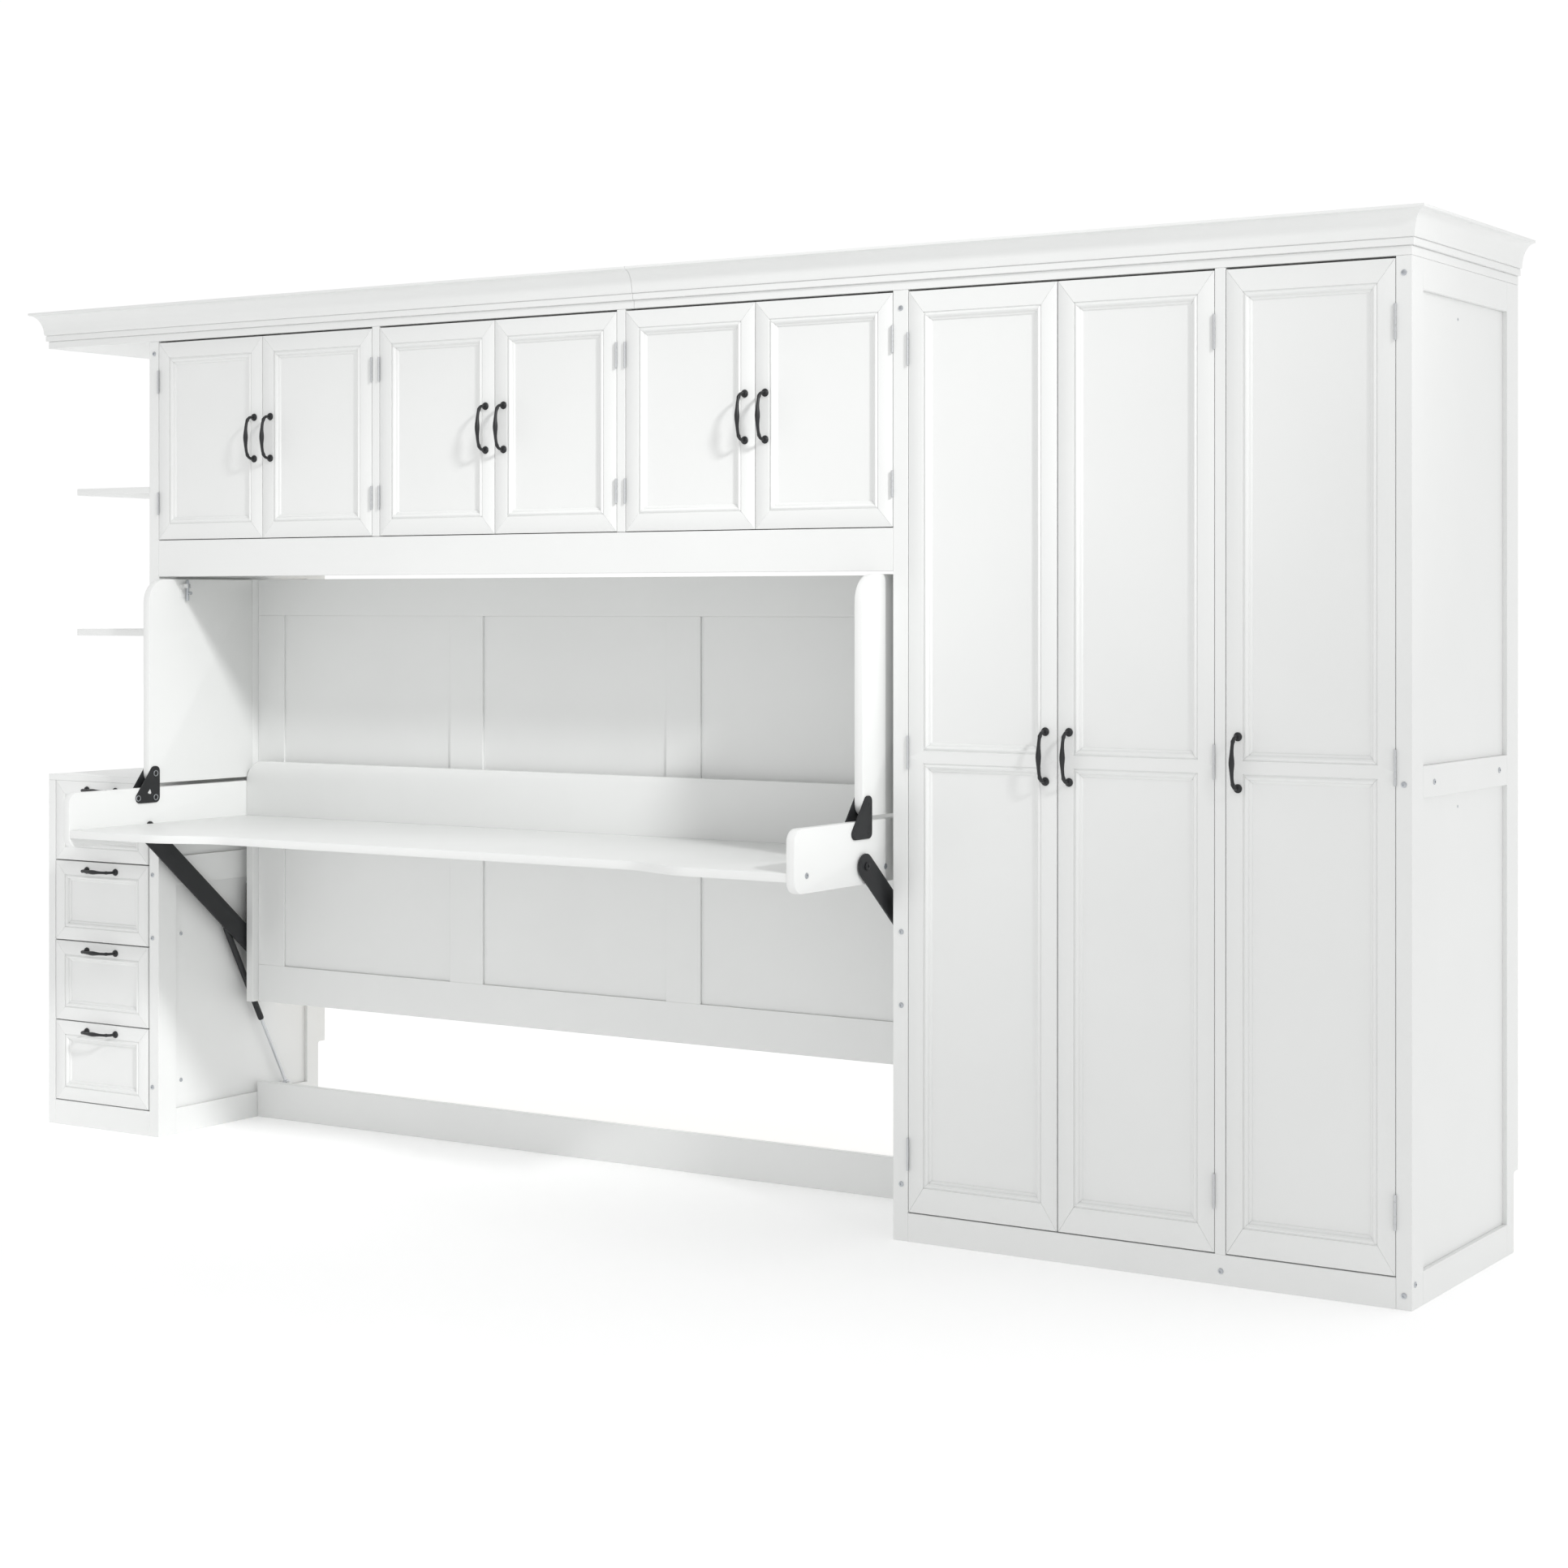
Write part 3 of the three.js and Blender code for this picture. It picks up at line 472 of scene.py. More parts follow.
# %% Drawers
BOX_WALL = 12.0
for number in range(1, 5):
    drawer = f"drawer_{number}"
    low, high = limits(drawer)
    x0, x1, z0, z1 = low[0], high[0], low[2], high[2]
    front = panelled_front(x0, x1, z0, z1, (30.0, 30.0, 30.0, 32.0))
    left, right = x0 + BOX_WALL, x1 - BOX_WALL
    foot, rim = z0 + 14, z1 - 26
    back = high[1]
    box = [
        block(left, left + BOX_WALL, FRONT_THICK + 0.2, back, foot, rim),
        block(right - BOX_WALL, right, FRONT_THICK + 0.2, back, foot, rim),
        block(left + BOX_WALL + 0.2, right - BOX_WALL - 0.2, back - BOX_WALL, back, foot, rim),
        block(left + BOX_WALL + 0.2, right - BOX_WALL - 0.2, FRONT_THICK + 0.2, 30, foot, rim),
        block(left + BOX_WALL + 0.2, right - BOX_WALL - 0.2, 30.2, back - BOX_WALL - 0.2, foot, foot + 9),
    ]
    piece(f"{drawer}_front", [front], drawer, SATIN_LACQUER, [drawer])
    piece(f"{drawer}_box", box, drawer, PRIMED_BOARD, (), 0.6)
print("drawers made: 4")

# %% [markdown]
# ## Pulls
# Each pull is cast: a bow that leaves the door square, turns along it and swells in the middle, between
# two turned rosettes. The bow's path is a squared-off half ellipse, and its radius is a plain bar with a
# bell-shaped swelling and a small collar by each foot.

# %% Pulls
PULL_SPAN = 96.0
PULL_OUT = 27.5
ROSETTE = [(0, 0.3), (8.3, 0.3), (8.5, 1.4), (7.6, 2.6), (7.8, 3.4), (6.2, 5.0), (3.6, 6.2), (0.01, 6.4)]


def pull_bow(upright, centre):
    """A tube along half a squared ellipse: z = 48 sin(a)^0.8 and out = 27.5 cos(a)^0.5, both signed."""
    turn = np.linspace(-math.pi / 2, math.pi / 2, 41)
    along = np.sign(turn) * np.abs(np.sin(turn)) ** 0.8 * PULL_SPAN / 2
    out = -np.abs(np.cos(turn)) ** 0.5 * PULL_OUT - 2.0
    radius = 3.3 + 2.2 * np.exp(-((along / 15.0) ** 2))
    radius += 0.9 * np.exp(-(((np.abs(along) - 40.0) / 2.5) ** 2))
    path = np.stack([np.zeros_like(out), out, along], axis=-1)
    tangent = np.gradient(path, axis=0)
    tangent /= np.linalg.norm(tangent, axis=1)[:, None]
    side = np.array([1.0, 0, 0])
    other = np.cross(tangent, side)
    angle = np.linspace(0, 2 * math.pi, 14, endpoint=False)
    spokes = np.cos(angle)[None, :, None] * side + np.sin(angle)[None, :, None] * other[:, None, :]
    tube = path[:, None, :] + radius[:, None, None] * spokes
    return tube[..., [0, 1, 2] if upright else [2, 1, 0]] + np.array(centre)


def add_pull(node_name, body, upright):
    low, high = limits(node_name)
    centre = np.array([(low[0] + high[0]) / 2, 0.0, (low[2] + high[2]) / 2])
    grids = [pull_bow(upright, centre)]
    step = np.array([0, 0, PULL_SPAN / 2]) if upright else np.array([PULL_SPAN / 2, 0, 0])
    grids += [lathe(ROSETTE, centre + sign * step, (0, -1, 0)) for sign in (-1, 1)]
    piece(f"{node_name}_cast", grids, body, CAST_BLACK, [node_name])


for number in range(1, 7):
    add_pull(f"upper_pull_{number}", f"upper_door_{number}", True)
for number in range(1, 4):
    add_pull(f"wardrobe_pull_{number}", f"wardrobe_door_{number}", True)
for number in range(1, 5):
    add_pull(f"drawer_pull_{number}", f"drawer_{number}", False)
print("pulls made: 13")

# %% [markdown]
# ## The crown
# The crown is one profile carried round the two front corners with mitres: a fascia, a small step and a
# cove that sweeps out to a flat lip. The real moulding comes in two lengths, so it is cut once along the
# front, where a hairline shows. The mitre needs no cutting: at a corner, the profile's outward distance is
# laid along both walls' normals at once.

# %% Crown
crown_low, crown_high = limits("crown_moulding")
CROWN_OUT = crown_high[0]
CROWN_TOP = crown_high[2]
CROWN_FOOT = crown_low[2]
LEFT_END = crown_low[0] + CROWN_OUT
sweep = np.linspace(0.02, 0.98, 12) * math.pi / 2
cove = [(8 + (CROWN_OUT - 9) * (1 - math.cos(a)), 1922 + (CROWN_TOP - 1928) * math.sin(a)) for a in sweep]
CROWN_PROFILE = [(-18.5, CROWN_FOOT), (-0.6, CROWN_FOOT), (0, CROWN_FOOT + 0.6), (0, 1905.4)]
CROWN_PROFILE += [(-1.6, 1905.8), (-1.6, 1906.8), (4.4, 1907.2), (5, 1908), (5, 1919.6)]
CROWN_PROFILE += [(3.6, 1920), (3.6, 1921), (7, 1921.4)] + cove
CROWN_PROFILE += [(CROWN_OUT - 0.5, CROWN_TOP - 5.5), (CROWN_OUT, CROWN_TOP - 5)]
CROWN_PROFILE += [(CROWN_OUT, CROWN_TOP - 0.8), (CROWN_OUT - 0.8, CROWN_TOP), (CROWN_OUT - 14, CROWN_TOP)]
CROWN_PROFILE += [(-18.5, 1922)]


def mitred_run(stations):
    """The crown's profile at each (x, y, outward x, outward y)."""
    profile = np.array(CROWN_PROFILE)
    rows = []
    for x, y, out_x, out_y in stations:
        columns = (x + profile[:, 0] * out_x, y + profile[:, 0] * out_y, profile[:, 1])
        rows.append(np.stack(columns, axis=-1))
    return np.array(rows)


CROWN_SEAM = -1710.0
SEAM_HALF = 0.5
right_length = mitred_run(
    [(CROWN_SEAM + SEAM_HALF, 0, 0, -1), (0, 0, 1, -1), (0, DEPTH, 1, 0)]
)
left_length = mitred_run(
    [(LEFT_END, DEPTH, -1, 0), (LEFT_END, 0, -1, -1), (CROWN_SEAM - SEAM_HALF, 0, 0, -1)]
)
piece(
    "crown_lengths", [right_length, left_length], "carcass", SATIN_LACQUER,
    ["crown_moulding"],
)
print("crown out and up, mm:", round(CROWN_OUT, 1), round(CROWN_TOP, 1))

# %% [markdown]
# ## Framed sides
# The wardrobe's right side and the niche's left side are frames too, but plain ones: square-edged stiles
# and rails round a sunk board. Each board is its own block with an eased arris, so the joints draw their
# own lines. The rear stile is notched at its foot for a skirting board.

# %% Framed sides
NOTCH_DEEP, NOTCH_HIGH = 25.0, 157.0
FRONT_STILE = 58.0
REAR_STILE = DEPTH - 66.0
SUNK = 9.0
REAR_OUTLINE = [
    (REAR_STILE, 0, 0), (DEPTH - NOTCH_DEEP, 0, 0), (DEPTH - NOTCH_DEEP, NOTCH_HIGH, 6),
    (DEPTH, NOTCH_HIGH, 0), (DEPTH, SIDE_TOP, 0), (REAR_STILE, SIDE_TOP, 0),
]


def framed_side(x0, x1, rails):
    """Two stiles, rails at the given heights, and a board sunk between them on the side of x1."""
    grids = [block(x0, x1, 0, FRONT_STILE, 0, SIDE_TOP)]
    grids.append(plate(rounded(REAR_OUTLINE, 4), x0, x1, "x", 0.0))
    grids += [block(x0, x1, FRONT_STILE, REAR_STILE, foot, head) for foot, head in rails]
    for (_, foot), (head, _) in zip(rails[:-1], rails[1:]):
        grids.append(block(x0, x1 - SUNK, FRONT_STILE, REAR_STILE, foot, head))
    return grids


right_rails = [(0, 61), (914, 972), (1832, SIDE_TOP)]
low, high = limits("wardrobe_right_side")
right_side = framed_side(low[0], high[0], right_rails)
piece("wardrobe_right_frame", right_side, "carcass", SATIN_LACQUER,
      ["wardrobe_right_side"], 0.8)
NICHE_FACE = limits("valance")[0][0] - 0.3
left_rails = [(0, 61), (596, 663), (1330, SIDE_TOP)]
niche_side = framed_side(NICHE_FACE - 30, NICHE_FACE, left_rails)
STRUT_FOOT = (432.0, 70.0)
stud = [(0.01, 0), (4, 0), (4, 30.0), (3.4, 31.0), (0.01, 31.0)]
niche_side.append(lathe(stud, (NICHE_FACE - SUNK, *STRUT_FOOT), (1, 0, 0), 16))
piece("niche_left_frame", niche_side, "carcass", SATIN_LACQUER,
      ["niche_left_side"], 0.8)
print("framed sides made: 2")

# %% [markdown]
# ## Plain boards
# The rest of the cabinet is plain board: posts, rails, decks and shelves. Lacquered edges are never razor
# sharp, so each board has a small rounded arris from a Bevel modifier. Where two boards meet, the two
# arrises make the fine line that shows the joint.

# %% Wardrobe case and front frame
POST = 34.0
frame_low, frame_high = limits("wardrobe_face_frame")
divider_low, divider_high = limits("wardrobe_divider")
FRAME_DEEP = frame_high[1]
PLINTH = 56.5
posts = [
    block(frame_low[0], frame_low[0] + POST, 0, FRAME_DEEP, 0, SIDE_TOP),
    block(frame_low[0] + POST, frame_high[0], 0, FRAME_DEEP, 0, PLINTH),
    block(divider_low[0] - 1, divider_high[0] + 1, 0, FRAME_DEEP, PLINTH, SIDE_TOP),
]
piece("wardrobe_front_frame", posts, "carcass", SATIN_LACQUER,
      ["wardrobe_face_frame"], 0.8)
left_low, left_high = limits("wardrobe_left_side")
left_x = (frame_low[0], frame_low[0] + 20)
left_board = [block(*left_x, left_low[1], left_high[1], 0, SIDE_TOP)]
short_stud = stud[:2] + [(4, 22), (3.4, 23), (0.01, 23)]
left_board.append(lathe(short_stud, (left_x[0], *STRUT_FOOT), (-1, 0, 0), 16))
piece("wardrobe_left_board", left_board, "carcass", SATIN_LACQUER,
      ["wardrobe_left_side"], 0.8)

# %% Overhead cabinet, valance, shelves and tower
PARTITIONS = [(-2434.5, -2413.5), (-1755.0, -1733.5)]
shell_low, shell_high = limits("upper_cabinet_shell")
DECK_FOOT = shell_low[2]
DECK_HEAD = DECK_FOOT + 18
overhead = [block(NICHE_FACE + 0.3, shell_high[0], 20, DEPTH - 1, DECK_FOOT, DECK_HEAD)]
overhead.append(block(NICHE_FACE + 0.3, shell_high[0], DEPTH - 12, DEPTH - 1, DECK_HEAD, SIDE_TOP))
overhead.append(block(shell_low[0], shell_high[0], 22, DEPTH - 1, SIDE_TOP + 0.3, shell_high[2]))
overhead += [block(x0, x1, 0, DEPTH - 12, DECK_HEAD, SIDE_TOP) for x0, x1 in PARTITIONS]
piece("overhead_case", overhead, "carcass", SATIN_LACQUER,
      ["upper_cabinet_shell"], 0.8)
piece("valance_board", [node_block("valance")], "carcass", SATIN_LACQUER,
      ["valance"], 1.0)
piece("stretcher_board", [node_block("rear_stretcher")], "carcass", SATIN_LACQUER,
      ["rear_stretcher"], 1.2)
for shelf in ("upper_shelf", "lower_shelf"):
    low, high = limits(shelf)
    outline = rounded([
        (low[0], low[1], 14), (high[0], low[1], 0), (high[0], high[1], 0), (low[0], high[1], 0)
    ])
    piece(f"{shelf}_board", [plate(outline, low[2], high[2], "z", 1.2)], "carcass", SATIN_LACQUER,
          [shelf])
tower_low, tower_high = limits("drawer_tower_shell")
TOWER_BACK = tower_high[1]
TOP_THICK = 15.0
tower_side = tower_low[0] + 23
tower = [
    block(tower_low[0], tower_side, 0, TOWER_BACK, 0, tower_high[2] - TOP_THICK - 0.2),
    block(tower_low[0], tower_high[0], 0, TOWER_BACK, tower_high[2] - TOP_THICK, tower_high[2]),
    block(tower_side, tower_high[0], 0, 20, 0, 59),
    block(tower_side, tower_high[0], 20, TOWER_BACK, 41, 59),
    block(tower_side, tower_high[0], TOWER_BACK - 12, TOWER_BACK, 59, tower_high[2] - TOP_THICK - 0.2),
]
piece("drawer_tower_case", tower, "carcass", SATIN_LACQUER,
      ["drawer_tower_shell"], 0.8)

for plain in ("wardrobe_shell", "wardrobe_divider"):
    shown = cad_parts[plain]
    shown.data.materials.clear()
    shown.data.materials.append(PRIMED_BOARD)
print("plain boards made")

# %% [markdown]
# ## The bed
# Seen from the front, the stored bed is the underside of its tray: a framed face with three sunk windows,
# held between two end boards, with a leg on each end that also carries the desk. Behind it are slats on
# three bearers, where the mattress lies once the bed is down.

# %% Bed face, end boards, legs and slats
face_low, face_high = limits("bed_face")
FACE_THICK = 12.0
WINDOWS = [(-2968.0, -2449.0), (-2352.0, -1833.0), (-1741.0, -1222.0)]
WINDOW_FOOT, WINDOW_HEAD = 384.0, 1238.0
RAIL_THICK = 20.0
face_y = (face_low[1], face_low[1] + FACE_THICK)
stile_edges = [face_low[0]] + [x for window in WINDOWS for x in window] + [face_high[0]]
face_boards = [
    block(face_low[0], face_high[0], *face_y, face_low[2], WINDOW_FOOT),
    block(face_low[0], face_high[0], *face_y, WINDOW_HEAD, face_high[2]),
]
for x0, x1 in zip(stile_edges[::2], stile_edges[1::2]):
    face_boards.append(block(x0, x1, *face_y, WINDOW_FOOT, WINDOW_HEAD))
for x0, x1 in WINDOWS:
    face_boards.append(block(x0, x1, face_y[0] + 5, face_y[1], WINDOW_FOOT, WINDOW_HEAD))
for foot in (face_low[2], face_high[2] - RAIL_THICK):
    face_boards.append(block(face_low[0], face_high[0], face_y[1], face_high[1], foot, foot + RAIL_THICK))
piece("bed_face_boards", face_boards, "bed", SATIN_LACQUER, ["bed_face"], 0.8)

for side in ("left", "right"):
    piece(f"bed_end_{side}", [node_block(f"bed_end_board_{side}")], "bed", SATIN_LACQUER,
          [f"bed_end_board_{side}"], 1.0)
    leg_low, leg_high = limits(f"bed_leg_{side}")
    outline = rounded([
        (leg_low[1], leg_low[2], 26), (leg_high[1], leg_low[2], 0),
        (leg_high[1], leg_high[2], 0), (leg_low[1], leg_high[2], 55),
    ])
    piece(f"bed_leg_{side}_board", [plate(outline, leg_low[0], leg_high[0], "x", 2.0)], "bed",
          SATIN_LACQUER, [f"bed_leg_{side}"])

slat_low, slat_high = limits("slat_base")
SLATS = 13
SLAT_WIDE = 70.0
pitch = (slat_high[0] - slat_low[0] - 60) / SLATS
slats = []
for number in range(SLATS):
    middle = slat_low[0] + 30 + pitch * (number + 0.5)
    slats.append(block(middle - SLAT_WIDE / 2, middle + SLAT_WIDE / 2, slat_high[1] - 14, slat_high[1],
                       slat_low[2], slat_high[2]))
for foot in (slat_low[2], (slat_low[2] + slat_high[2] - 25) / 2, slat_high[2] - 25):
    slats.append(block(slat_low[0], slat_high[0], slat_low[1], slat_high[1] - 14.2, foot, foot + 25))
piece("bed_slats", slats, "bed", POPLAR, ["slat_base"], 1.5)
print("slats:", SLATS)

# %% [markdown]
# ## The desk
# The desk is a long top with both ends reaching forward in an S-curve, a board standing behind it and a
# side at each end with rounded front corners. Every outline is a few corners, given a thickness and a
# soft arris.

# %% Desk
SIDES = (("left", -1), ("right", 1))


def leg_faces(side):
    """The x of a leg's outer and inner face."""
    low, high = limits(f"bed_leg_{side}")
    return (low[0], high[0]) if side == "left" else (high[0], low[0])


top_low, top_high = limits("desk_top")
WING = 330.0
EASE = 190.0
SET_BACK = 55.0


def s_curve(start, end, steps=16):
    """A smooth step from one point to another: along one axis evenly, across it by 3t^2 - 2t^3."""
    t = np.linspace(0, 1, steps)
    rise = 3 * t**2 - 2 * t**3
    return np.stack([start[0] + (end[0] - start[0]) * t, start[1] + (end[1] - start[1]) * rise], axis=-1)


front_y = top_low[1]
inner_y = front_y + SET_BACK
top_outline = np.concatenate([
    np.array([[top_low[0], front_y]]),
    s_curve((top_low[0] + WING - EASE / 2, front_y), (top_low[0] + WING + EASE / 2, inner_y)),
    s_curve((top_high[0] - WING - EASE / 2, inner_y), (top_high[0] - WING + EASE / 2, front_y)),
    np.array([[top_high[0], front_y], [top_high[0], top_high[1]], [top_low[0], top_high[1]]]),
])
piece("desk_top_board", [plate(top_outline, top_low[2], top_high[2], "z", 2.0)], "desk",
      SATIN_LACQUER, ["desk_top"])
low, high = limits("desk_back_board")
back_outline = rounded([
    (low[0], low[2], 0), (high[0], low[2], 0), (high[0], high[2], 50), (low[0], high[2], 50)
], 14)
piece("desk_back_panel", [plate(back_outline, low[1], high[1], "y", 2.0)], "desk",
      SATIN_LACQUER, ["desk_back_board"])
BAR_TOP = (-74.0, 748.0)
pin = [(0.01, 0), (6, 0), (6, 9.5), (5, 10.5), (0.01, 10.5)]
for side, out in SIDES:
    outer, inner = leg_faces(side)
    low, high = limits(f"desk_side_{side}")
    outline = rounded([
        (low[1], low[2], 26), (high[1], low[2], 0), (high[1], high[2], 0), (low[1], high[2], 26)
    ])
    piece(f"desk_side_{side}_board", [plate(outline, *sorted((outer, inner)), "x", 2.0)], "desk",
          SATIN_LACQUER, [f"desk_side_{side}"])
    piece(f"desk_bar_pin_{side}", [lathe(pin, (outer - 0.5 * out, *BAR_TOP), (out, 0, 0), 20)], "desk",
          POWDER_COAT)
print("desk made")

# %% [markdown]
# ## The steelwork
# Folded and laser-cut plates carry the movement: a triangular plate each side of the desk's pivot, a flat
# bar that keeps the desk level, and a plate on the cabinet that both turn on. Their edges are only broken,
# and the powder coat lies over all of it.

# %% Hinge plates, bars and pivot plates
DESK_PIVOT = (-57.0, 869.0)
BED_PIVOT = (326.0, 543.0)
BAR_FOOT = (BED_PIVOT[0] + BAR_TOP[0] - DESK_PIVOT[0], BED_PIVOT[1] + BAR_TOP[1] - DESK_PIVOT[1])
hinge_outline = rounded([(-132, 801, 12), (-44, 801, 12), (-44, 886, 12), (-66, 886, 12)], 8)
HINGE_SCREWS = [(-113.0, 813.0), (-57.0, 813.0), DESK_PIVOT]
CAP_NUT = [(0.01, -2), (9.5, -2), (9.5, 3.0), (8.4, 5.2), (5.5, 6.8), (0.01, 7.4)]
DIAMOND = (-75.0, 826.0)
DIAMOND_REACH = 9.0


def pierced(outline, low, high):
    """A plate with a diamond hole: four loops, outside and hole, carried from one face to the other.

    The hole's points lie on |y| + |z| = reach, each in line with its outline point from the centre."""
    spoke = outline - np.array(DIAMOND)
    hole = np.array(DIAMOND) + DIAMOND_REACH * spoke / np.abs(spoke).sum(axis=1)[:, None]
    loops = [(outline, low), (outline, high), (hole, high), (hole, low), (outline, low)]
    return np.array([np.column_stack([np.full(len(flat), x), flat]) for flat, x in loops])


RIVET_RING = [(5.2, 0), (7.2, 0), (7.0, 1.0), (6.2, 1.4), (5.4, 1.0), (5.2, 0)]


def screw_head(centre, axis, radius=5.5, high=2.0):
    """A low domed head with a hexagon socket sunk in it."""
    socket = radius * 0.42
    profile = [(0.01, high * 0.2), (socket, high * 0.2), (socket * 1.08, high), (radius * 0.7, high)]
    profile += [(radius * 0.93, high * 0.72), (radius, high * 0.3), (radius, -0.4), (0.01, -0.4)]
    grid = lathe(profile, centre, axis, 24)
    angle = np.linspace(0, 2 * math.pi, 24, endpoint=False)
    sixth = math.pi / 3
    hexagon = math.cos(sixth / 2) / np.cos((angle + sixth / 2) % sixth - sixth / 2)
    middle = grid[1:3].mean(axis=1, keepdims=True)
    grid[1:3] = middle + (grid[1:3] - middle) * hexagon[None, :, None]
    return grid


for side, out in SIDES:
    outer, inner = leg_faces(side)
    outside = sorted((outer + 0.3 * out, outer + 3.3 * out))
    inside = sorted((inner - 0.3 * out, inner - 3.3 * out))
    plates = [plate(hinge_outline, *outside, "x", 0.5), pierced(hinge_outline, *inside)]
    bolt = [(0.01, 0), (5, 0), (5, 26.4), (0.01, 26.4)]
    plates.append(lathe(bolt, (inner - 3.2 * out, *DESK_PIVOT), (out, 0, 0)))
    for y, z in HINGE_SCREWS:
        plates.append(screw_head((inner - 3.3 * out, y, z), (-out, 0, 0), 5.0, 1.6))
        plates.append(screw_head((outer + 3.3 * out, y, z), (out, 0, 0), 5.0, 0.3))
    piece(f"desk_hinge_{side}_steel", plates, "desk", POWDER_COAT, [f"desk_hinge_{side}"])
    rings = [lathe(RIVET_RING, (inner - 3.2 * out, y, z), (-out, 0, 0), 24) for y, z in HINGE_SCREWS]
    piece(f"desk_hinge_{side}_rivets", rings, "desk", BRIGHT_ZINC)

    low, high = limits(f"link_bar_{side}")
    foot = np.array(BAR_FOOT)
    reach = np.array(BAR_TOP) - foot
    length = np.linalg.norm(reach)
    turn = math.atan2(reach[1], reach[0])
    ends = np.linspace(-math.pi / 2, math.pi / 2, 14)
    top_arc = np.stack([length + 25 * np.cos(ends), 25 * np.sin(ends)], axis=-1)
    foot_arc = np.stack([-25 * np.cos(ends), -25 * np.sin(ends)], axis=-1)
    straight = np.concatenate([top_arc, foot_arc])
    spin = np.array([[math.cos(turn), -math.sin(turn)], [math.sin(turn), math.cos(turn)]])
    bar = straight @ spin.T + foot
    tab = rounded([(197, 508, 0), (203, 474, 8), (227, 474, 8), (253, 496, 0)], 8)
    grids = [plate(bar, low[0], high[0], "x", 0.5), plate(tab, low[0] + 0.1, high[0] - 0.1, "x", 0.4)]
    piece(f"link_bar_{side}_steel", grids, "link_bars", POWDER_COAT, [f"link_bar_{side}"])
    cap = screw_head((outer + 10.5 * out, *BAR_TOP), (out, 0, 0), 8.0, 2.4)
    nut = lathe(CAP_NUT, (inner, *BAR_TOP), (-out, 0, 0), 24)
    piece(f"bar_cap_{side}", [cap, nut], "desk", POWDER_COAT)
    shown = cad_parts[f"pivot_plate_{side}"]
    shown.data.materials.clear()
    shown.data.materials.append(POWDER_COAT)

# %% [markdown]
# ## Gas struts
# A gas strut is a black tube with a rolled end, and a chromed rod that slides out of it. The rod ends in
# an eye on the cabinet's stud, and the tube in a block on the bar. Both are turned shapes on one line.

# %% Gas struts
STRUT_TOP = np.array([213.0, 486.0])
foot = np.array(STRUT_FOOT)
strut_axis = (STRUT_TOP - foot) / np.linalg.norm(STRUT_TOP - foot)
strut_long = np.linalg.norm(STRUT_TOP - foot)
TUBE_LONG = 276.0
tube_start = strut_long - TUBE_LONG
bore_end = strut_long - 14
tube = [(0.01, bore_end), (5.2, bore_end), (5.2, tube_start), (6.4, tube_start), (7.2, tube_start + 2.5)]
tube += [(7.4, tube_start + 6), (7.4, strut_long - 12), (6.6, strut_long - 8), (5.0, strut_long - 6)]
tube += [(5.0, strut_long), (0.01, strut_long)]
rod = [(0.01, 2), (4, 2), (4, tube_start + 19), (0.01, tube_start + 19)]
eye = [(4.5, -5), (9, -5), (9.4, -4.4), (9.4, 4.4), (9, 5), (4.5, 5), (4.5, -5)]
for side, out in SIDES:
    outer = leg_faces(side)[0]
    strut_x = outer + 16.3 * out
    line = (0, *strut_axis)
    base = (strut_x, *STRUT_FOOT)
    stud_start = outer + 8.9 * out
    block_end = lathe([(0.01, 0), (5, 0), (5, 8), (6.5, 8), (6.5, 11), (0.01, 11)],
                      (stud_start, *STRUT_TOP), (out, 0, 0), 16)
    piece(f"strut_tube_{side}", [lathe(tube, base, line, 28), block_end], "strut_cylinders",
          POWDER_COAT, [f"strut_cylinder_{side}"])
    ring = lathe(eye, base, (1, 0, 0), 20)
    piece(f"strut_rod_{side}_chrome", [lathe(rod, base, line, 20), ring], "strut_rods", HARD_CHROME,
          [f"strut_rod_{side}"])
print("strut length at rest, mm:", round(float(strut_long), 1))

# %% [markdown]
# ## The latch
# A sliding bolt on the left leg keeps the stored bed up. Its guide is a small folded bracket with two
# screws; both are painted white with the leg.

# %% Latch
low, high = limits("latch_bolt")
leg_inner = limits("bed_leg_left")[1][0]
guide = [
    block(leg_inner + 0.2, leg_inner + 2.0, low[1] - 14, high[1] + 14, low[2] + 8, low[2] + 40),
    block(leg_inner + 2.0, leg_inner + 14.5, low[1] - 3.5, low[1] - 1.0, low[2] + 30, low[2] + 40),
    block(leg_inner + 2.0, leg_inner + 14.5, high[1] + 1.0, high[1] + 3.5, low[2] + 30, low[2] + 40),
]
for y in (low[1] - 8.5, high[1] + 8.5):
    guide.append(screw_head((leg_inner + 2.0, y, low[2] + 24), (1, 0, 0), 3.2, 1.2))
piece("latch_guide", guide, "bed", SATIN_LACQUER, (), 0.4)
middle_y = (low[1] + high[1]) / 2
bolt_x = leg_inner + 8
bolt_grids = [lathe([(0.01, 0), (3.6, 0), (4, 1), (4, 45), (2.6, 50), (0.01, 50)],
                    (bolt_x, middle_y, low[2]), (0, 0, 1), 20)]
bolt_grids.append(lathe([(0.01, 0), (2.4, 0), (2.4, 8), (4, 9), (4, 12), (0.01, 12)],
                        (bolt_x, middle_y, low[2] + 18), (1, 0, 0), 16))
piece("latch_bolt_turned", bolt_grids, "latch_bolt", BRIGHT_ZINC, ["latch_bolt"])

# %% [markdown]
# ## Butt hinges and screws
# Each door hangs on small butt hinges whose knuckles fill the gap beside it. A knuckle is a turned barrel
# with four fine grooves where the five parts meet. The cabinet's joints are pulled up by zinc bolts, whose
# heads show on the posts and on the right side.

# %% Butt hinges
KNUCKLE = 2.3
GROOVE_DEEP = 0.6


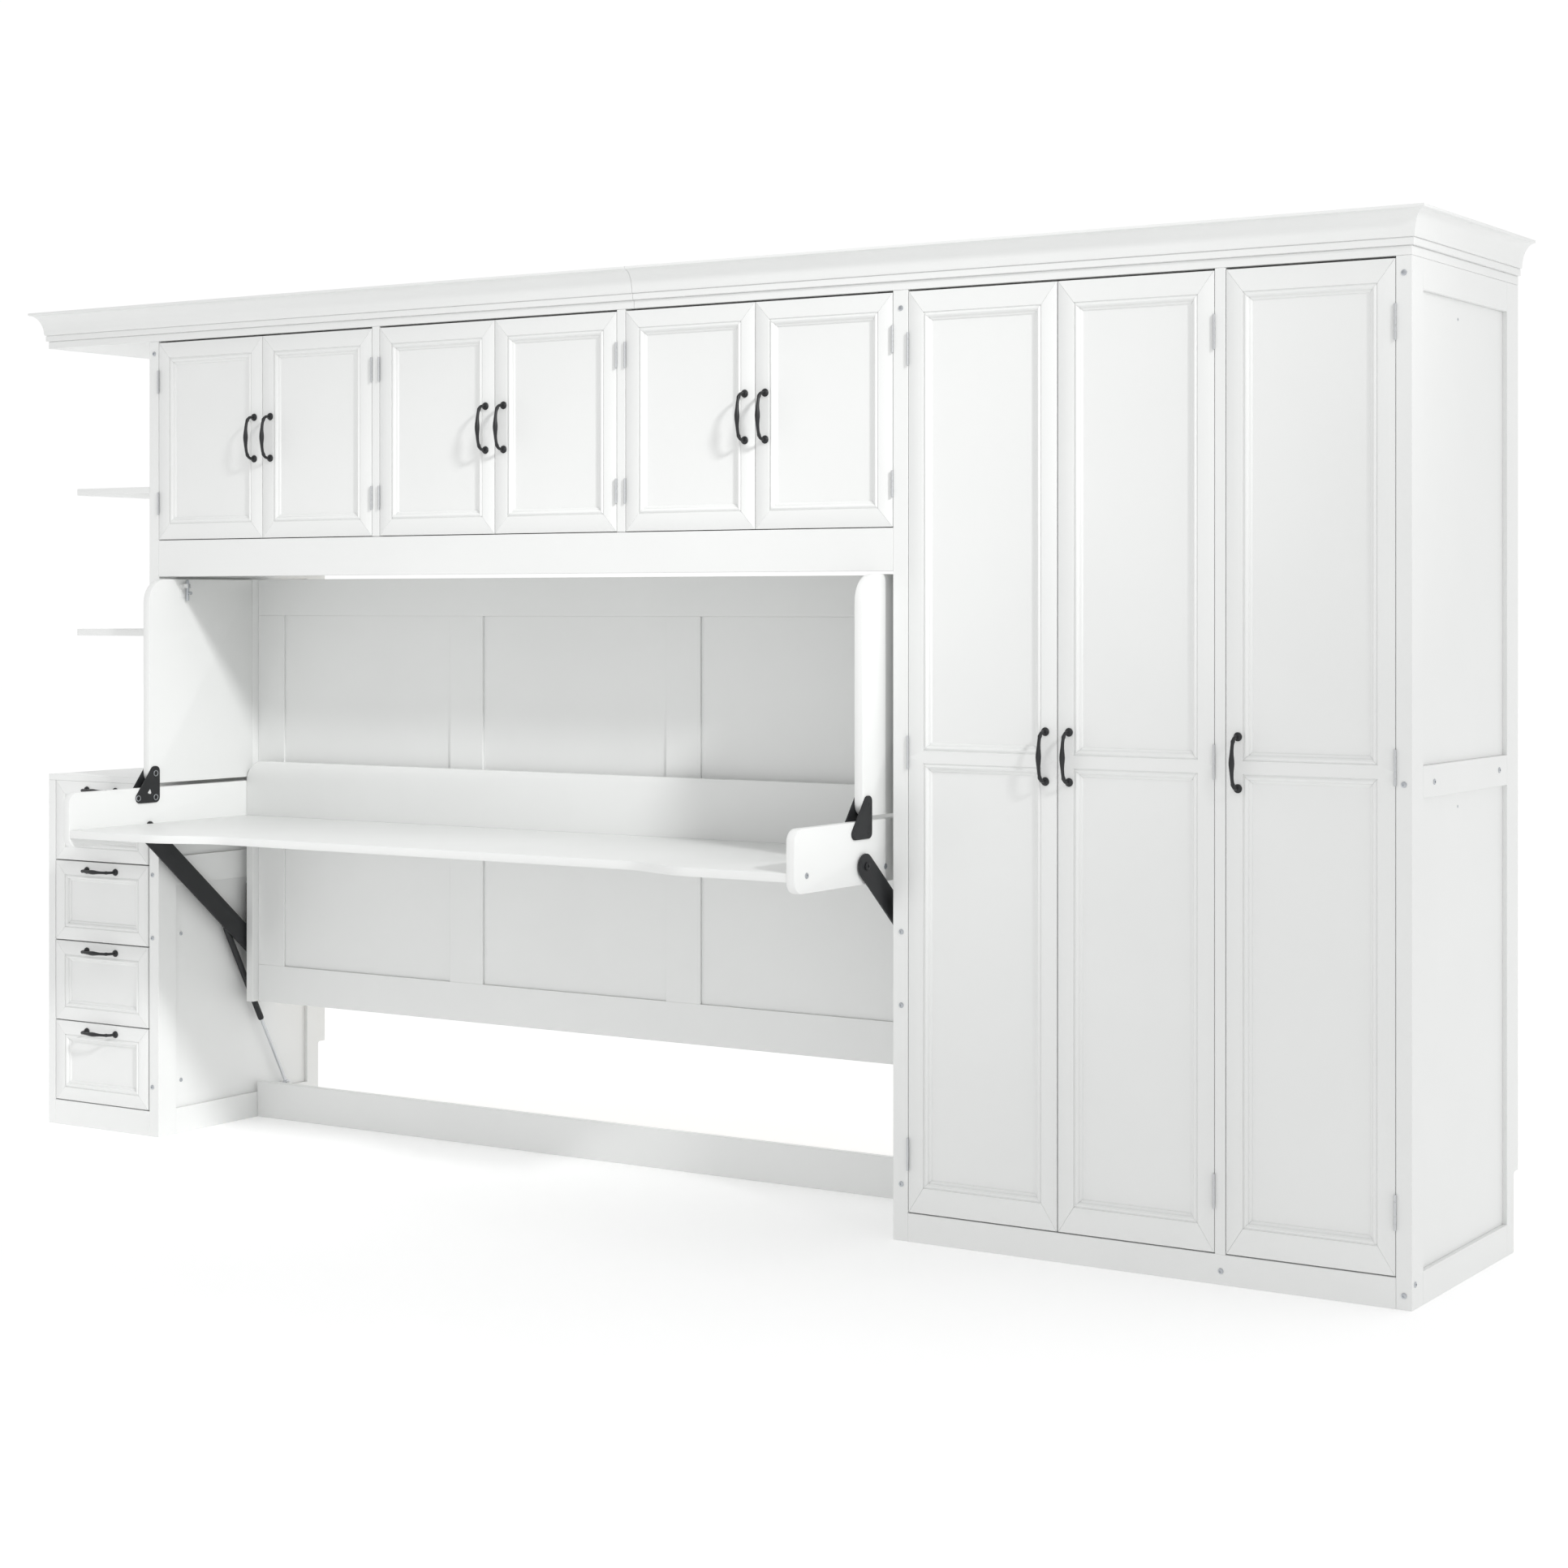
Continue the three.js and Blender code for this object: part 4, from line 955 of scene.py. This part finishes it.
def butt_hinge(x, foot, head):
    """A grooved barrel, from a radius that dips by GROOVE_DEEP at each joint between knuckles."""
    groove = KNUCKLE - GROOVE_DEEP
    profile = [(0.01, 0), (groove, 0), (KNUCKLE, 0.6)]
    long = head - foot
    for joint in (0.2, 0.4, 0.6, 0.8):
        at = joint * long
        profile += [(KNUCKLE, at - 0.5), (groove, at - 0.3), (groove, at + 0.3), (KNUCKLE, at + 0.5)]
    profile += [(KNUCKLE, long - 0.6), (groove, long), (0.01, long)]
    barrel = lathe(profile, (x, -KNUCKLE - 0.5, foot), (0, 0, 1), 16)
    leaf = block(x - 0.45, x + 0.45, -2.0, 17.0, foot, head)
    return [barrel, leaf]


UPPER_HINGES = [(1478.0, 1531.0), (1765.0, 1820.0)]
WARDROBE_HINGES = [(141.0, 206.0), (938.0, 1004.0), (1738.0, 1804.0)]
HALF_GAP = 0.75
hinges = []
for number in range(1, 7):
    low, high = limits(f"upper_door_{number}")
    x = low[0] - HALF_GAP if number % 2 else high[0] + HALF_GAP
    for foot, head in UPPER_HINGES:
        hinges += butt_hinge(x, foot, head)
for number in range(1, 4):
    low, high = limits(f"wardrobe_door_{number}")
    x = low[0] - HALF_GAP if number == 1 else high[0] + HALF_GAP
    for foot, head in WARDROBE_HINGES:
        hinges += butt_hinge(x, foot, head)
piece("butt_hinges", hinges, "carcass", NICKEL)

# %% Cabinet screws
FRONT_SCREWS = [(-3112, 1860), (-1058, 1853), (-1057, 614), (-1057, 468), (-1057, 113)]
FRONT_SCREWS += [(-15, 1858), (-15, 941), (-15, 26), (-370, 26), (-3118, 622), (-3118, 472), (-3118, 118)]
SIDE_SCREWS = [(114, 941), (472, 945), (16, 45)]
SIDE_PLUGS = [(265, 1796), (264, 887)]
NICHE_SCREWS = [(83, 476), (83, 125)]
screws = [screw_head((x, 0.0, z), (0, -1, 0)) for x, z in FRONT_SCREWS]
screws += [screw_head((0.0, y, z), (1, 0, 0)) for y, z in SIDE_SCREWS]
screws += [screw_head((-SUNK, y, z), (1, 0, 0), 3.0, 0.6) for y, z in SIDE_PLUGS]
screws += [screw_head((NICHE_FACE - SUNK, y, z), (1, 0, 0), 5.0, 1.5) for y, z in NICHE_SCREWS]
piece("cabinet_screws", screws, "carcass", BRIGHT_ZINC)
desk_screws = []
for side, out in SIDES:
    outer = leg_faces(side)[0]
    for y, z in ((-283.0, 745.0), (12.0, 741.0)):
        desk_screws.append(screw_head((outer, y, z), (out, 0, 0), 6.0, 2.0))
piece("desk_screws", desk_screws, "desk", BRIGHT_ZINC)
print("screws:", len(screws) + len(desk_screws))
